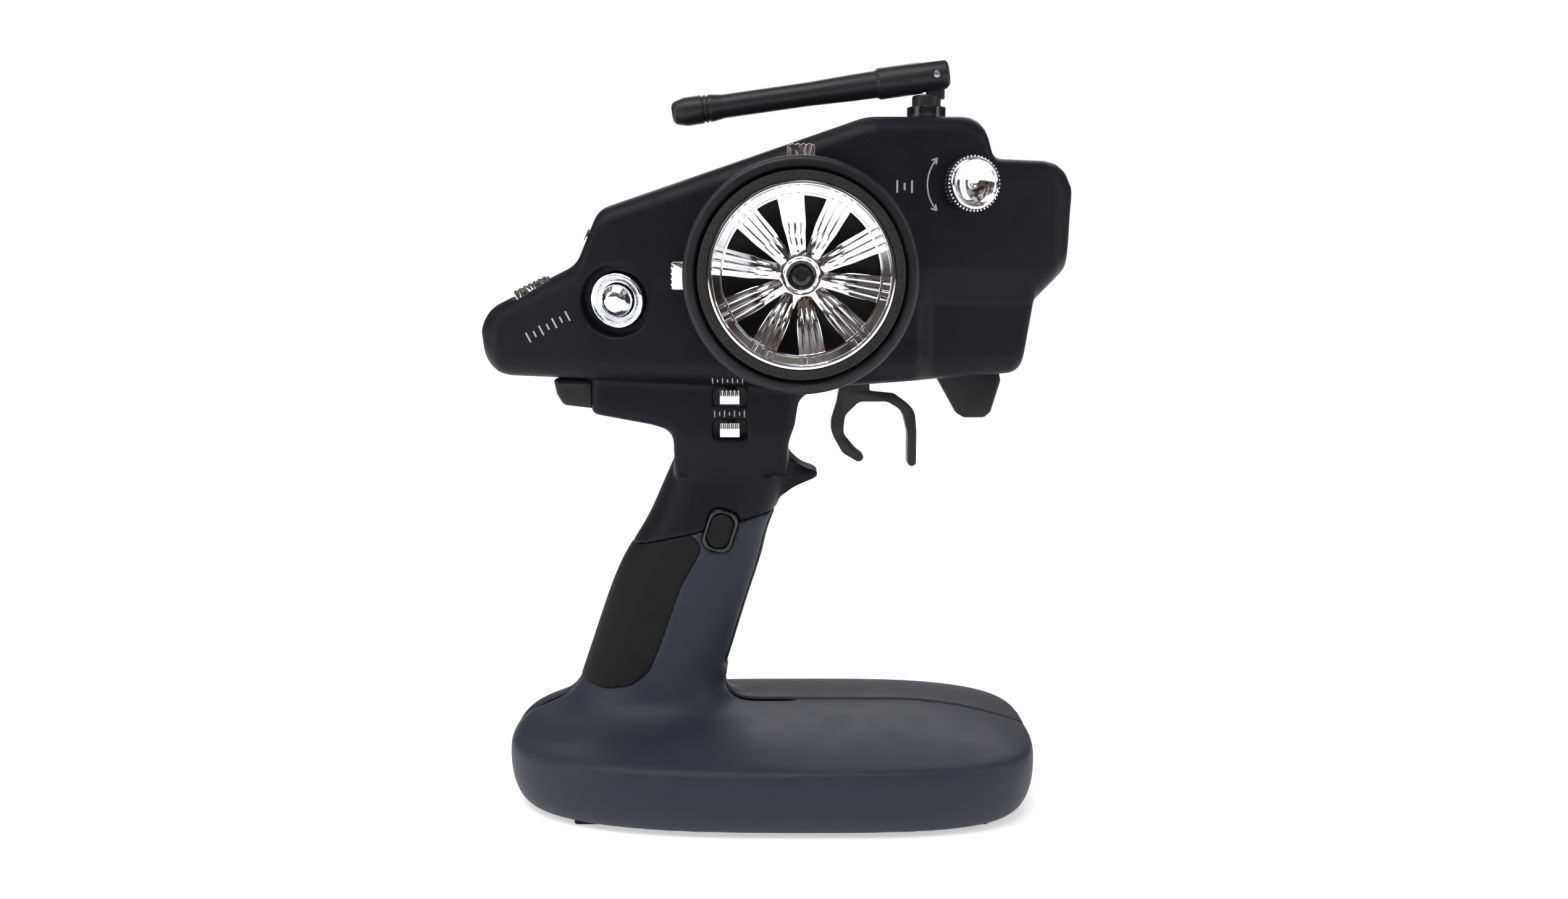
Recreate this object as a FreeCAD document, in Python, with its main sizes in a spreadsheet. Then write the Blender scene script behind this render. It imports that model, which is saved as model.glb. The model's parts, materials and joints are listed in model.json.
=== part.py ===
import FreeCAD, Part
import math
import os
import Sketcher
from FreeCAD import Placement, Rotation, Vector

# Pistol-grip radio transmitter. Millimetres; +X points forward (antenna and trigger side), +Z up.
# The steering wheel is on the -Y side. Z = 0 is the surface the rubber feet stand on.

doc = FreeCAD.newDocument("PistolTransmitter")
sheet = doc.addObject("Spreadsheet::Sheet", "Sizes")

sizes = {
    # base
    "base_length": 165.4, "base_width": 99.0, "base_centre_x": -2.0, "base_bulge_x": 6.0,
    "base_seam_height": 29.4, "base_crease_height": 21.0, "base_bottom": 1.6, "wall": 2.2,
    "base_front_power": 3.5, "base_rear_power": 2.7,
    # grip
    "grip_half_width": 17.4, "grip_split_height": 92.4, "grip_split_slope": 0.25, "pad_depth": 1.8,
    "strip_half_width": 6.5, "strip_depth": 1.4,
    # head
    "head_half_width": 25.0, "tail_x": -90.0, "nose_x": 90.4, "nose_half_width": 12.6,
    "tail_half_width": 18.5, "head_top": 212.0, "nose_top": 199.2, "head_floor": 131.2,
    "taper_start_x": 38.0, "neck_half_width": 18.4, "head_edge_round": 6.5, "end_round": 7.0,
    # steering wheel
    "wheel_x": 7.2, "wheel_z": 164.8, "wheel_rim_radius": 26.4, "tyre_radius": 29.2,
    "tyre_width": 13.0, "wheel_face_y": 49.3, "shaft_radius": 3.0, "shaft_fit": 0.05,
    "housing_radius": 34.3, "housing_depth": 11.5, "housing_recess_radius": 30.6,
    "spoke_count": 10.0,
    # trigger
    "trigger_x": 24.0, "trigger_z": 146.0, "trigger_width": 8.4, "trigger_shaft_radius": 2.0,
    # antenna
    "antenna_x": 46.1, "antenna_pivot_x": 48.8, "antenna_pivot_z": 225.7, "antenna_length": 81.7,
    "antenna_droop": 8.0, "barrel_radius": 4.4, "collar_radius": 5.9,
    # knob and buttons
    "knob_x": 55.9, "knob_z": 191.5, "knob_radius": 8.3, "knob_height": 7.6, "knob_tilt": 16.0,
    "aux_x": -47.2, "aux_z": 157.5, "aux_ring_radius": 8.1, "aux_dome_radius": 4.8,
    "aux_tilt": 12.0, "aux_travel": 1.2,
    "grip_button_x": -17.3, "grip_button_z": 87.0, "grip_button_travel": 1.0,
    # batteries
    "cell_radius": 7.2, "cell_length": 50.5, "cell_pitch": 14.8, "cell_count": 8.0,
    # general clearance between pieces that move past each other
    "play": 0.4,
}
for row, (alias, value) in enumerate(sizes.items(), start=1):
    sheet.set("A%d" % row, alias.replace("_", " "))
    sheet.set("B%d" % row, str(value))
    sheet.setAlias("B%d" % row, alias)
doc.recompute()

parts = {}


def size(alias):
    """A driving size, read from the sheet."""
    return float(sheet.get(alias))


# ---------------------------------------------------------------- drawing helpers

def rounded_edges(corners):
    """Closed chain of lines and tangent arcs through (a, b, radius) corners."""
    count = len(corners)
    starts, ends, mids = [], [], []
    for i, (a, b, radius) in enumerate(corners):
        here = Vector(a, b, 0)
        to_last = Vector(*corners[i - 1][:2], 0) - here
        to_next = Vector(*corners[(i + 1) % count][:2], 0) - here
        room = 0.48 * min(to_last.Length, to_next.Length)
        to_last.normalize()
        to_next.normalize()
        half = to_last.getAngle(to_next) / 2
        setback = min(radius / math.tan(half), room) if radius else 0
        starts.append(here + to_last * setback)
        ends.append(here + to_next * setback)
        bisector = (to_last + to_next)
        if setback and bisector.Length > 1e-6:
            bisector.normalize()
            arc_radius = setback * math.tan(half)
            reach = arc_radius / math.sin(half) - arc_radius
            mids.append(here + bisector * reach)
        else:
            mids.append(None)
    edges = []
    for i in range(count):
        if mids[i] is not None:
            edges.append(Part.Arc(starts[i], mids[i], ends[i]))
        following = starts[(i + 1) % count]
        if (following - ends[i]).Length > 1e-6:
            edges.append(Part.LineSegment(ends[i], following))
    return edges


def flat_wire(corners):
    return Part.Wire([edge.toShape() for edge in rounded_edges(corners)])


def side_wall(corners, y_low, y_high):
    """Solid whose outline is drawn in X and Z, standing between two Y values."""
    face = Part.Face(flat_wire(corners))
    face.rotate(Vector(0, 0, 0), Vector(1, 0, 0), 90)
    face.translate(Vector(0, y_low, 0))
    return face.extrude(Vector(0, y_high - y_low, 0))


def rod(radius, start, end):
    axis = end - start
    return Part.makeCylinder(radius, axis.Length, start, axis)


def block(x_low, x_high, y_low, y_high, z_low, z_high):
    return Part.makeBox(x_high - x_low, y_high - y_low, z_high - z_low, Vector(x_low, y_low, z_low))


def oval_wire(x_rear, x_front, half_width, power, height, bulge_x=None, rear_power=None):
    """Closed smooth superellipse in a level plane; the two ends may differ about bulge_x."""
    middle = (x_rear + x_front) / 2 if bulge_x is None else bulge_x
    rear_power = rear_power or power
    points = []
    steps = 32
    for i in range(steps):
        turn = 2 * math.pi * i / steps
        c, s = math.cos(turn), math.sin(turn)
        exponent = power if c >= 0 else rear_power
        reach = x_front - middle if c >= 0 else middle - x_rear
        x = middle + reach * math.copysign(abs(c) ** (2 / exponent), c)
        y = half_width * math.copysign(abs(s) ** (2 / exponent), s)
        points.append(Vector(x, y, height))
    curve = Part.BSplineCurve()
    curve.interpolate(Points=points, PeriodicFlag=True)
    return Part.Wire([curve.toShape()])


def tube_path(points, radius):
    """Round lead along straight runs joined by tangent arcs."""
    edges = []
    last = points[0]
    for i in range(1, len(points) - 1):
        here = points[i]
        back = points[i - 1] - here
        ahead = points[i + 1] - here
        shorter = min(back.Length, ahead.Length)
        back.normalize()
        ahead.normalize()
        turn = math.pi - back.getAngle(ahead)
        setback = 0.45 * shorter
        bend = setback / math.tan(turn / 2)
        start = here + back * setback
        end = here + ahead * setback
        bisector = back + ahead
        bisector.normalize()
        middle = here + bisector * (bend / math.cos(turn / 2) - bend)
        edges.append(Part.LineSegment(last, start).toShape())
        edges.append(Part.Arc(start, middle, end).toShape())
        print("lead bend radius %.1f" % bend)
        last = end
    edges.append(Part.LineSegment(last, points[-1]).toShape())
    path = Part.Wire(edges)
    section = Part.Wire([Part.makeCircle(radius, points[0], points[1] - points[0])])
    return path.makePipeShell([section], True, True)


def coil(radius, wire_radius, pitch, height):
    """Helical spring standing on the XY plane."""
    helix = Part.makeHelix(pitch, height, radius)
    section = Part.Wire([Part.makeCircle(wire_radius, Vector(radius, 0, 0), Vector(0, 1, 0))])
    return Part.Wire(helix.Edges).makePipeShell([section], True, True)


# ---------------------------------------------------------------- document helpers

def add_feature(name, shape, placement=None):
    """A sub-part whose shape comes from Part's own functions."""
    feature = doc.addObject("Part::Feature", name)
    feature.Label = name
    feature.Shape = shape
    if placement:
        feature.Placement = placement
    parts[name] = feature
    return feature


def add_body(name, placement=None):
    body = doc.addObject("PartDesign::Body", name)
    body.Label = name
    body.Placement = placement or Placement()
    parts[name] = body
    return body


def sketch_on(body, role, name, edges):
    sketch = body.newObject("Sketcher::SketchObject", name)
    plane = next(feature for feature in body.Origin.OriginFeatures if feature.Role == role)
    sketch.AttachmentSupport = [(plane, "")]
    sketch.MapMode = "FlatFace"
    first = sketch.addGeometry(edges, False)
    indices = list(first) if isinstance(first, (list, tuple)) else [first]
    if len(indices) > 1:
        for here, following in zip(indices, indices[1:] + indices[:1]):
            ends = [(a, b) for a in (1, 2) for b in (1, 2)]
            a, b = min(ends, key=lambda pair: (sketch.getPoint(here, pair[0])
                                               - sketch.getPoint(following, pair[1])).Length)
            sketch.addConstraint(Sketcher.Constraint("Coincident", here, a, following, b))
    return sketch


def pad(body, sketch, length, symmetric=False, reverse=False):
    """Pad whose length is bound to a sheet expression or a plain number."""
    feature = body.newObject("PartDesign::Pad", sketch.Name + "_pad")
    feature.Profile = sketch
    if isinstance(length, str):
        feature.setExpression("Length", length)
    else:
        feature.Length = length
    feature.SideType = "Symmetric" if symmetric else "One side"
    feature.Reversed = reverse
    doc.recompute()
    return feature


def cut_through(body, sketch):
    feature = body.newObject("PartDesign::Pocket", sketch.Name + "_pocket")
    feature.Profile = sketch
    feature.Type = "ThroughAll"
    feature.SideType = "Symmetric"
    doc.recompute()
    return feature


def turned(body, corners, name):
    """Revolved profile drawn as (radius, height, corner radius) about the body's own Z."""
    sketch = sketch_on(body, "XZ_Plane", name, rounded_edges(corners))
    feature = body.newObject("PartDesign::Revolution", name + "_turn")
    feature.Profile = sketch
    feature.ReferenceAxis = (sketch, ["V_Axis"])
    feature.Angle = 360
    doc.recompute()
    return sketch, feature


def polar(body, sketch, feature, count):
    pattern = body.newObject("PartDesign::PolarPattern", feature.Name + "_ring")
    pattern.Originals = [feature]
    pattern.Axis = (sketch, ["V_Axis"])
    pattern.Angle = 360
    pattern.Occurrences = count
    body.Tip = pattern
    doc.recompute()
    return pattern


def facing(point, direction, roll=0.0):
    """Placement that stands a body's own Z along a direction."""
    turn = Rotation(Vector(0, 0, 1), Vector(*direction))
    return Placement(Vector(*point), turn * Rotation(Vector(0, 0, 1), roll))


# ---------------------------------------------------------------- places shared by several pieces

wall = size("wall")
play = size("play")
head_half = size("head_half_width")
base_rear = size("base_centre_x") - size("base_length") / 2
base_front = size("base_centre_x") + size("base_length") / 2
base_half = size("base_width") / 2
bottom = size("base_bottom")
wheel_x, wheel_z = size("wheel_x"), size("wheel_z")
tail_x, nose_x = size("tail_x"), size("nose_x")
housing_face = head_half + size("housing_depth")
tyre_back = size("wheel_face_y") - size("tyre_width")
shaft = size("shaft_radius")
bore = shaft + size("shaft_fit")
trigger_x, trigger_z = size("trigger_x"), size("trigger_z")
far = 400.0

# Side outline of the head: tail, steep rear face, sloping top, flat top, nose, lower front block.
head_corners = [
    (tail_x + 1.0, size("head_floor") + 3.6, 9), (tail_x, 153.5, 9),
    (tail_x + 30.4, 168.2, 8), (tail_x + 37.2, 184.4, 7),
    (26.5, size("head_top") - 0.6, 16), (61.6, size("head_top"), 9),
    (65.0, size("nose_top") + 0.6, 3), (nose_x, size("nose_top"), 9),
    (nose_x - 1.8, 167.0, 3), (78.6, 157.2, 1.5), (75.0, 135.2, 5),
    (10.5, size("head_floor"), 2), (-66.0, size("head_floor") + 3.0, 2),
]
head_plan = [
    (tail_x, size("tail_half_width")), (tail_x + 34.0, head_half),
    (size("taper_start_x"), head_half), (nose_x, size("nose_half_width")),
]


def stations(outline, low, high):
    """Values of x where cross-sections are drawn: round corners get several, straight runs none."""
    marks = {low, high}
    for edge in outline.Edges:
        if edge.Curve.TypeId == "Part::GeomCircle":
            for share in (0, 0.25, 0.5, 0.75, 1):
                place = edge.FirstParameter + share * (edge.LastParameter - edge.FirstParameter)
                marks.add(edge.valueAt(place).x)
    marks |= {low + 1.0, low + 3.0, low + 6.0, high - 0.6, high - 2.5, high - 5.0}
    kept = [low]
    for mark in sorted(marks):
        if mark - kept[-1] > 0.35 and mark < high - 0.2:
            kept.append(mark)
    return kept + [high]


def side_y(x):
    """Half width of the head at a given x, rounded in at both ends."""
    for (x_a, y_a), (x_b, y_b) in zip(head_plan, head_plan[1:]):
        if x_a <= x <= x_b:
            width = y_a + (y_b - y_a) * (x - x_a) / (x_b - x_a)
            break
    for end, reach in ((tail_x, x - tail_x), (nose_x, nose_x - x)):
        curve = size("end_round")
        if reach < curve:
            width -= curve - math.sqrt(curve ** 2 - (curve - reach) ** 2)
    return width


def head_block(inset):
    """The head as cross-sections along x, each a rounded rectangle; inset draws its inside."""
    outline = flat_wire(head_corners)
    if inset:
        outline = Part.Face(outline).makeOffset2D(-inset).OuterWire
    box = outline.BoundBox
    wires = []
    for x in stations(outline, box.XMin + 0.05, box.XMax - 0.05):
        upright = Part.LineSegment(Vector(x, 100, 0), Vector(x, 250, 0)).toShape()
        heights = sorted(point.Y for point in outline.section(upright).Vertexes)
        low, high = heights[0], heights[-1]
        half = side_y(x) - inset
        corner = min(size("head_edge_round") - inset / 2, 0.42 * (high - low), 0.9 * half)
        square = [(-half, low, corner), (half, low, corner), (half, high, corner), (-half, high, corner)]
        wire = flat_wire(square)
        wire.rotate(Vector(0, 0, 0), Vector(1, 1, 1), 120)
        wire.translate(Vector(x, 0, 0))
        wires.append(wire)
    return Part.makeLoft(wires, True, True)


def neck_block(inset):
    """Flat-sided neck under the head, down to the waist."""
    half = size("neck_half_width") - inset
    corners = [
        (11.5 - inset, 140, 0), (10.4 - inset, 130, 0), (6.8 - inset, 127.0, 3),
        (5.6 - inset, 119.5, 8), (3.6 - inset, 113.5, 10), (3.4 - inset, 104, 0),
        (-31.4 + inset, 104, 0), (-31.6 + inset, 117.6, 7), (-38.0 + inset, 119.6 + inset, 6),
        (-56.3 + inset, 123.0 + inset, 2), (-56.3 + inset, 140, 0),
    ]
    mass = side_wall(corners, -half, half)
    foot, taper_top, taper_foot = half - 3.4, 116, 103
    profile = Part.Face(flat_wire([(-half, 141, 0), (-half, taper_top, 6), (-foot, taper_foot, 0),
                                   (foot, taper_foot, 0), (half, taper_top, 6), (half, 141, 0)]))
    profile.rotate(Vector(0, 0, 0), Vector(1, 1, 1), 120)
    profile.translate(Vector(-60, 0, 0))
    taper = profile.extrude(Vector(80, 0, 0))
    if inset:
        return mass.common(taper)
    upright = [edge for edge in mass.Edges
               if abs(abs(edge.CenterOfMass.y) - half) < 0.01 and edge.CenterOfMass.z < 136]
    return mass.makeFillet(3.0, upright).common(taper)


# Grip sections: height, rear x, front x, half width as a share of the palm's, section power.
grip_sections = [
    (120.0, -31.0, 5.4, 1.02, 4.0), (110.0, -31.6, 3.6, 0.93, 3.2), (104.0, -34.2, 3.6, 0.90, 2.9),
    (94.0, -38.6, 0.6, 0.94, 2.6), (79.0, -47.2, -4.4, 0.99, 2.5), (64.0, -53.9, -9.1, 1.0, 2.5),
    (48.5, -59.2, -13.9, 1.0, 2.5), (38.0, -62.8, -17.3, 1.0, 2.5), (26.0, -66.8, -21.2, 1.02, 2.5),
]
# Flare where the grip runs out into the base.
flare_sections = [
    (43.0, -58.6, -17.6, 0.93, 2.5), (36.0, -63.9, -16.9, 1.03, 2.5), (33.0, -66.0, -15.8, 1.10, 2.5),
    (30.5, -69.5, -13.4, 1.20, 2.5), (28.6, -74.0, -10.5, 1.34, 2.5), (26.8, -78.4, -8.0, 1.5, 2.5),
    (24.2, -82.0, -7.0, 1.66, 2.5), (21.2, -83.2, -7.0, 1.78, 2.5),
]


def lofted(sections, inset):
    wires = []
    for height, rear, front, share, power in sections:
        half = size("grip_half_width") * share - inset
        wires.append(oval_wire(rear + inset, front - inset, half, power, height))
    return Part.makeLoft(wires, True, False)


def base_block(inset):
    """Foot of the transmitter: barrel sides to the crease, then a low dome up to the seam."""
    def ring(height, lean):
        back = lean + inset
        return oval_wire(base_rear + back, base_front - back, base_half - back,
                         size("base_front_power"), height, size("base_bulge_x"),
                         size("base_rear_power"))
    seam = size("base_seam_height") - inset
    crease = size("base_crease_height") - inset
    sides = [(bottom + inset, 4.4), (bottom + 4, 1.6), (bottom + 8.5, 0.4), (crease - 5, 0), (crease, 0.5)]
    barrel = Part.makeLoft([ring(*pair) for pair in sides], True, False)
    leans = [0.5, 4, 9, 16, 25, 35, 43]
    rise = seam - crease
    dome = []
    for lean in leans:
        reach = 1 - (lean - 0.5) / (base_half - 0.5)
        dome.append(ring(crease + rise * (1 - reach ** 2.3), lean))
    return barrel.fuse(Part.makeLoft(dome, True, False))


def sloped(x, z, run, climb):
    """Placement on a sloping face: own X climbs the slope, own Z leaves the surface."""
    return Placement(Vector(x, 0, z), Rotation(Vector(0, 1, 0), -math.degrees(math.atan2(climb, run))))


def placed(shape, placement):
    copy = shape.copy()
    copy.Placement = placement.multiply(copy.Placement)
    return copy


def centred(length, width, z_low, z_high, y=0.0, x=0.0):
    return block(x - length / 2, x + length / 2, y - width / 2, y + width / 2, z_low, z_high)


# Frames of the things set into the shells.
tail_slope = sloped(tail_x + 16.4, 153.5 + 7.9, 30.4, 14.7)
rear_slope = sloped(tail_x + 33.8, 176.3, 6.8, 16.2)
knob_frame = facing((size("knob_x"), -side_y(size("knob_x")), size("knob_z")),
                    (math.sin(math.radians(size("knob_tilt"))),
                     -math.cos(math.radians(size("knob_tilt"))), 0))
aux_frame = facing((size("aux_x"), -head_half, size("aux_z")),
                   (-math.sin(math.radians(size("aux_tilt"))),
                    -math.cos(math.radians(size("aux_tilt"))), -0.12))
ring_radius = size("aux_ring_radius")
dome_radius = size("aux_dome_radius")
aux_levers = {"aux_rate_lever": 128.4, "aux_trim_lever": 118.4}
lever_x = -14.1
lever_face = size("neck_half_width")
grip_button_frame = Placement(Vector(size("grip_button_x"), -size("grip_half_width") * 0.97,
                                     size("grip_button_z")), Rotation(Vector(1, 0, 0), 90))
grip_button_lean = 18.0
charge_frame = Placement(Vector(-56.3, 0, 129.6), Rotation(Vector(0, 1, 0), -90))


# ---------------------------------------------------------------- black head shells

def split_line(x):
    """Height of the line where the black upper grip ends and the grey handle begins."""
    return size("grip_split_height") + x * size("grip_split_slope")


def above_split():
    drop_rear, drop_front = split_line(-110), split_line(60)
    return side_wall([(-110, drop_rear, 0), (60, drop_front, 0), (60, 260, 0), (-110, 260, 0)],
                     -far / 4, far / 4)


def finger_rest():
    """Small hook under the trigger for the middle finger."""
    corners = [(0, 109.5, 0), (4.2, 109.5, 5), (7.2, 106.2, 6), (12.6, 104.4, 1), (13.4, 102.4, 1.2),
               (5.6, 99.2, 4), (1.2, 96.0, 0), (-4, 96.0, 0)]
    hook = side_wall(corners, -7.5, 7.5)
    tips = [edge for edge in hook.Edges
            if abs(abs(edge.CenterOfMass.y) - 7.5) < 0.01 and edge.CenterOfMass.x > 6]
    return hook.makeFillet(1.0, tips)


def grip_button_rod(grow, reach_in, reach_out):
    """Slanted oval prism standing across the grip's right side."""
    half_long, half_short = 5.3 + grow, 3.4 + grow
    oval = [(-half_short, -half_long, 3.2), (half_short, -half_long, 3.2),
            (half_short, half_long, 3.2), (-half_short, half_long, 3.2)]
    face = Part.Face(flat_wire(oval))
    face.rotate(Vector(0, 0, 0), Vector(0, 0, 1), -grip_button_lean)
    face.translate(Vector(0, 0, reach_in))
    return placed(face.extrude(Vector(0, 0, reach_out - reach_in)), grip_button_frame)


def lever_slot(height, grow=0.0):
    """Opening in the neck's right side for one of the small levers."""
    return block(lever_x - 4.6 - grow, lever_x + 4.6 + grow, -lever_face - 1, -lever_face + wall + 1,
                 height - 2.6 - grow, height + 2.6 + grow)


trigger_hole = block(trigger_x - 9.8, trigger_x + 8.6, -size("trigger_width") / 2 - play,
                     size("trigger_width") / 2 + play, size("head_floor") - 4, size("head_floor") + 7)


def head_openings():
    """All the holes in the two head shells."""
    antenna_x = size("antenna_x")
    tools = [
        rod(bore + 1.2, Vector(wheel_x, -head_half - 2, wheel_z), Vector(wheel_x, 0, wheel_z)),
        placed(rod(3.6, Vector(0, 0, -9), Vector(0, 0, 3)), knob_frame),
        placed(rod(ring_radius + 2.6, Vector(0, 0, -2.2), Vector(0, 0, 8)), aux_frame),
        placed(rod(ring_radius + 0.1, Vector(0, 0, -9), Vector(0, 0, 1)), aux_frame),
        trigger_hole,
        rod(4.0, Vector(antenna_x, 0, size("head_top") - 8), Vector(antenna_x, 0, size("head_top") + 4)),
        placed(centred(17.0, 22.0, -wall - 2, 3), tail_slope),
        placed(centred(5.2, 12.6, -wall - 2, 3), rear_slope),
        placed(rod(1.7, Vector(0, 14, -wall - 2), Vector(0, 14, 3)), rear_slope),
        placed(centred(13.0, 18.0, -6.4, 6.0, x=0), charge_frame),
    ]
    for side in (-1, 1):
        tools.append(placed(centred(12.0, 5.6, -wall - 2, 3, y=15.2 * side), tail_slope))
    for height in aux_levers.values():
        tools.append(lever_slot(height))
    return tools


def halves(shell):
    """Right and left halves of a closed shell, parted at the middle plane."""
    parted = []
    for y_low in (-far, 0):
        half = shell.common(block(-far, far, y_low, y_low + far, -far, far))
        parted.append(max(half.Solids, key=lambda solid: solid.Volume))
    return parted


def head_shells():
    outside = head_block(0).fuse([neck_block(0), grip_skin.common(above_split()), finger_rest()])
    inside = head_block(wall).fuse([neck_block(wall), grip_core])
    shell = outside.cut(inside)
    cup = placed(rod(ring_radius + 4.6, Vector(0, 0, -6.2), Vector(0, 0, 6)), aux_frame)
    shell = shell.fuse([cup.common(head_block(0))] + screw_posts("head"))
    shell = shell.cut(head_openings() + [grip_button_rod(1.2, -9, 4)])
    right, left = halves(shell)
    return right.cut(screw_bores("head", True)), left.cut(screw_bores("head", False))


# Case screws run across the middle plane: (x, z) of each, by shell pair.
screw_places = {
    "head": [(-78.0, 142.5), (-36.0, 178.0), (40.0, 141.5), (70.0, 144.0), (30.0, 203.0)],
    "base": [(-24.5, 62.0), (68.0, 14.0)],
}
screw_post_radius = 3.4
screw_radius = 1.25


def case_half(x, z):
    """Half width of the case where a screw crosses it."""
    head_foot, base_top = 110, 35
    if z > head_foot:
        return side_y(x)
    if z > base_top:
        return size("grip_half_width") * 0.96
    reach = (x - size("base_bulge_x")) / (base_front - size("base_bulge_x"))
    power = size("base_front_power")
    return base_half * (1 - abs(reach) ** power) ** (1 / power)


def screw_posts(pair):
    """Posts that meet at the middle plane and take the case screws."""
    posts = []
    for x, z in screw_places[pair]:
        reach = case_half(x, z) - wall / 2
        posts.append(rod(screw_post_radius, Vector(x, -reach, z), Vector(x, reach, z)))
    return posts


def screw_bores(pair, right):
    """Right half: blind pilot. Left half: clearance hole and counterbore from the left face."""
    tools = []
    for x, z in screw_places[pair]:
        tools.append(rod(screw_radius, Vector(x, -9.5, z), Vector(x, 12, z)))
        if not right:
            tools.append(rod(screw_radius + 1.2, Vector(x, 9, z), Vector(x, case_half(x, z) + 4, z)))
    return tools


# ---------------------------------------------------------------- grey base shells with the handle

def pad_region(grow):
    """Side-view area covered by the rubber palm pad."""
    split = [(-120, split_line(-120)), (-26.5, split_line(-26.5))]
    edge = [(-22.6, 82.0), (-29.2, 70.0), (-33.0, 60.0), (-36.4, 50.0), (-39.6, 42.6), (-45.0, 38.2),
            (-53.0, 36.6), (-64.0, 38.6), (-120, 44.0)]
    corners = [(x, z, 3.0 if 0 < i < 9 else 0) for i, (x, z) in enumerate(split + edge)]
    face = Part.Face(flat_wire(corners))
    if grow:
        face = face.makeOffset2D(grow)
    face.rotate(Vector(0, 0, 0), Vector(1, 0, 0), 90)
    face.translate(Vector(0, 60, 0))
    return face.extrude(Vector(0, -120, 0))


def strip_region(grow):
    """Front edge of the handle, covered by a thin black strip."""
    half = size("strip_half_width") + grow
    corners = [(-3.0, 91.0, 0), (12, 91.0, 0), (12, 35.0 - grow, 0), (-26.0, 35.0 - grow, 0)]
    return side_wall(corners, -half, half)


def base_shells():
    outside = base_block(0).fuse([grip_skin.cut(above_split()), lofted(flare_sections, 0)])
    inside = base_block(wall).fuse([grip_core, lofted(flare_sections, wall + size("pad_depth"))])
    shell = outside.cut(inside)
    shell = shell.fuse([post.common(base_block(0)) for post in screw_posts("base")])
    shell = shell.cut([palm_area, strip_area, door_opening(), grip_button_rod(1.2, -9, 4), rubber_feet()])
    right, left = halves(shell)
    return right.cut(screw_bores("base", True)), left.cut(screw_bores("base", False))


# Battery bay: cells lie side by side along x, their axes across the base.
bay_length = size("cell_count") * size("cell_pitch") + 2.4
bay_width = size("cell_length") + 7.0
bay_centre = size("base_centre_x") + 3.0
bay_front = bay_centre + bay_length / 2
cell_height = bottom + wall + 0.6 + size("cell_radius")
foot_half = 5.8
foot_reach = 3.0
foot_y = 31.2
foot_places = (size("base_centre_x") - 53.4, size("base_centre_x") + 60.4)
door_half = foot_y - foot_reach - 0.6
door_rear = bay_centre - bay_length / 2 - 2.0


lip_half = 20.0
lip_top = bottom + 10.5
lip_rear = base_front - 6.0


def door_opening():
    """Bottom and front-end opening that the battery door fills."""
    floor = block(door_rear - play, base_front + 5, -door_half - play, door_half + play, -5,
                  bottom + wall + 0.05)
    return floor.fuse(block(lip_rear - play, base_front + 5, -lip_half - play, lip_half + play, -5,
                            lip_top + play))


def battery_door():
    """Flat door that slides out forwards, with a lip that follows the base's front end."""
    slab = block(door_rear, base_front + 5, -door_half, door_half, bottom - 0.2, bottom + wall - 0.2)
    slab = slab.common(base_block(0).fuse(rim_below()))
    lip = base_block(0).cut(base_block(wall)).common(
        block(lip_rear, base_front + 5, -lip_half, lip_half, bottom, lip_top))
    door = slab.fuse(max(lip.Solids, key=lambda solid: solid.Volume)).cut(door_grip())
    return max(door.Solids, key=lambda solid: solid.Volume)


def rim_below():
    """The part of the base's footprint just below its bottom edge, so the door can stand proud."""
    ring = oval_wire(base_rear + 4.4, base_front - 4.4, base_half - 4.4, size("base_front_power"),
                     bottom - 0.3, size("base_bulge_x"), size("base_rear_power"))
    return Part.Face(ring).extrude(Vector(0, 0, 1.0))


def door_grip():
    """Finger grooves near the door's front end."""
    return [block(base_front - 22 - 3 * i, base_front - 21 - 3 * i, -9, 9, bottom - 1, bottom + 0.3)
            for i in range(5)]


def battery_tray():
    top = cell_height + size("cell_radius") + 2.2
    tray = block(bay_centre - bay_length / 2, bay_centre + bay_length / 2, -bay_width / 2, bay_width / 2,
                 bottom + wall + 0.3, top)
    tray = tray.cut(block(bay_centre - bay_length / 2 + 1.2, bay_centre + bay_length / 2 - 1.2,
                          -bay_width / 2 + 1.2, bay_width / 2 - 1.2, bottom, cell_height))
    return tray.cut([rod(size("cell_radius") + 0.2, Vector(x, -bay_width / 2 + 1.2, cell_height),
                         Vector(x, bay_width / 2 - 1.2, cell_height)) for x in cell_places()])


def cell_places():
    first = bay_centre - (size("cell_count") - 1) * size("cell_pitch") / 2
    return [first + i * size("cell_pitch") for i in range(int(size("cell_count")))]


def battery_cells():
    cells = []
    for i, x in enumerate(cell_places()):
        way = 1 if i % 2 else -1
        body = rod(size("cell_radius"), Vector(x, -size("cell_length") / 2 * way, cell_height),
                   Vector(x, (size("cell_length") / 2 - 1.2) * way, cell_height))
        cap = rod(2.7, Vector(x, (size("cell_length") / 2 - 1.2) * way, cell_height),
                  Vector(x, size("cell_length") / 2 * way, cell_height))
        cells.append(body.fuse(cap))
    return Part.makeCompound(cells)


def cell_contacts():
    """Bent plates at both ends of the bay that join the cells in series."""
    plates = []
    inner = bay_width / 2 - 1.2
    low, high = cell_height - 6.0, cell_height - 0.2
    places = cell_places()
    for i in range(0, len(places), 2):
        plates.append(block(places[i] - 4, places[i + 1] + 4, inner - 0.4, inner, low, high))
    for i in range(1, len(places) - 1, 2):
        plates.append(block(places[i] - 4, places[i + 1] + 4, -inner, -inner + 0.4, low, high))
    for x in (places[0], places[-1]):
        plates.append(block(x - 4, x + 4, -inner, -inner + 0.4, low, high))
    return Part.makeCompound(plates)


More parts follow.
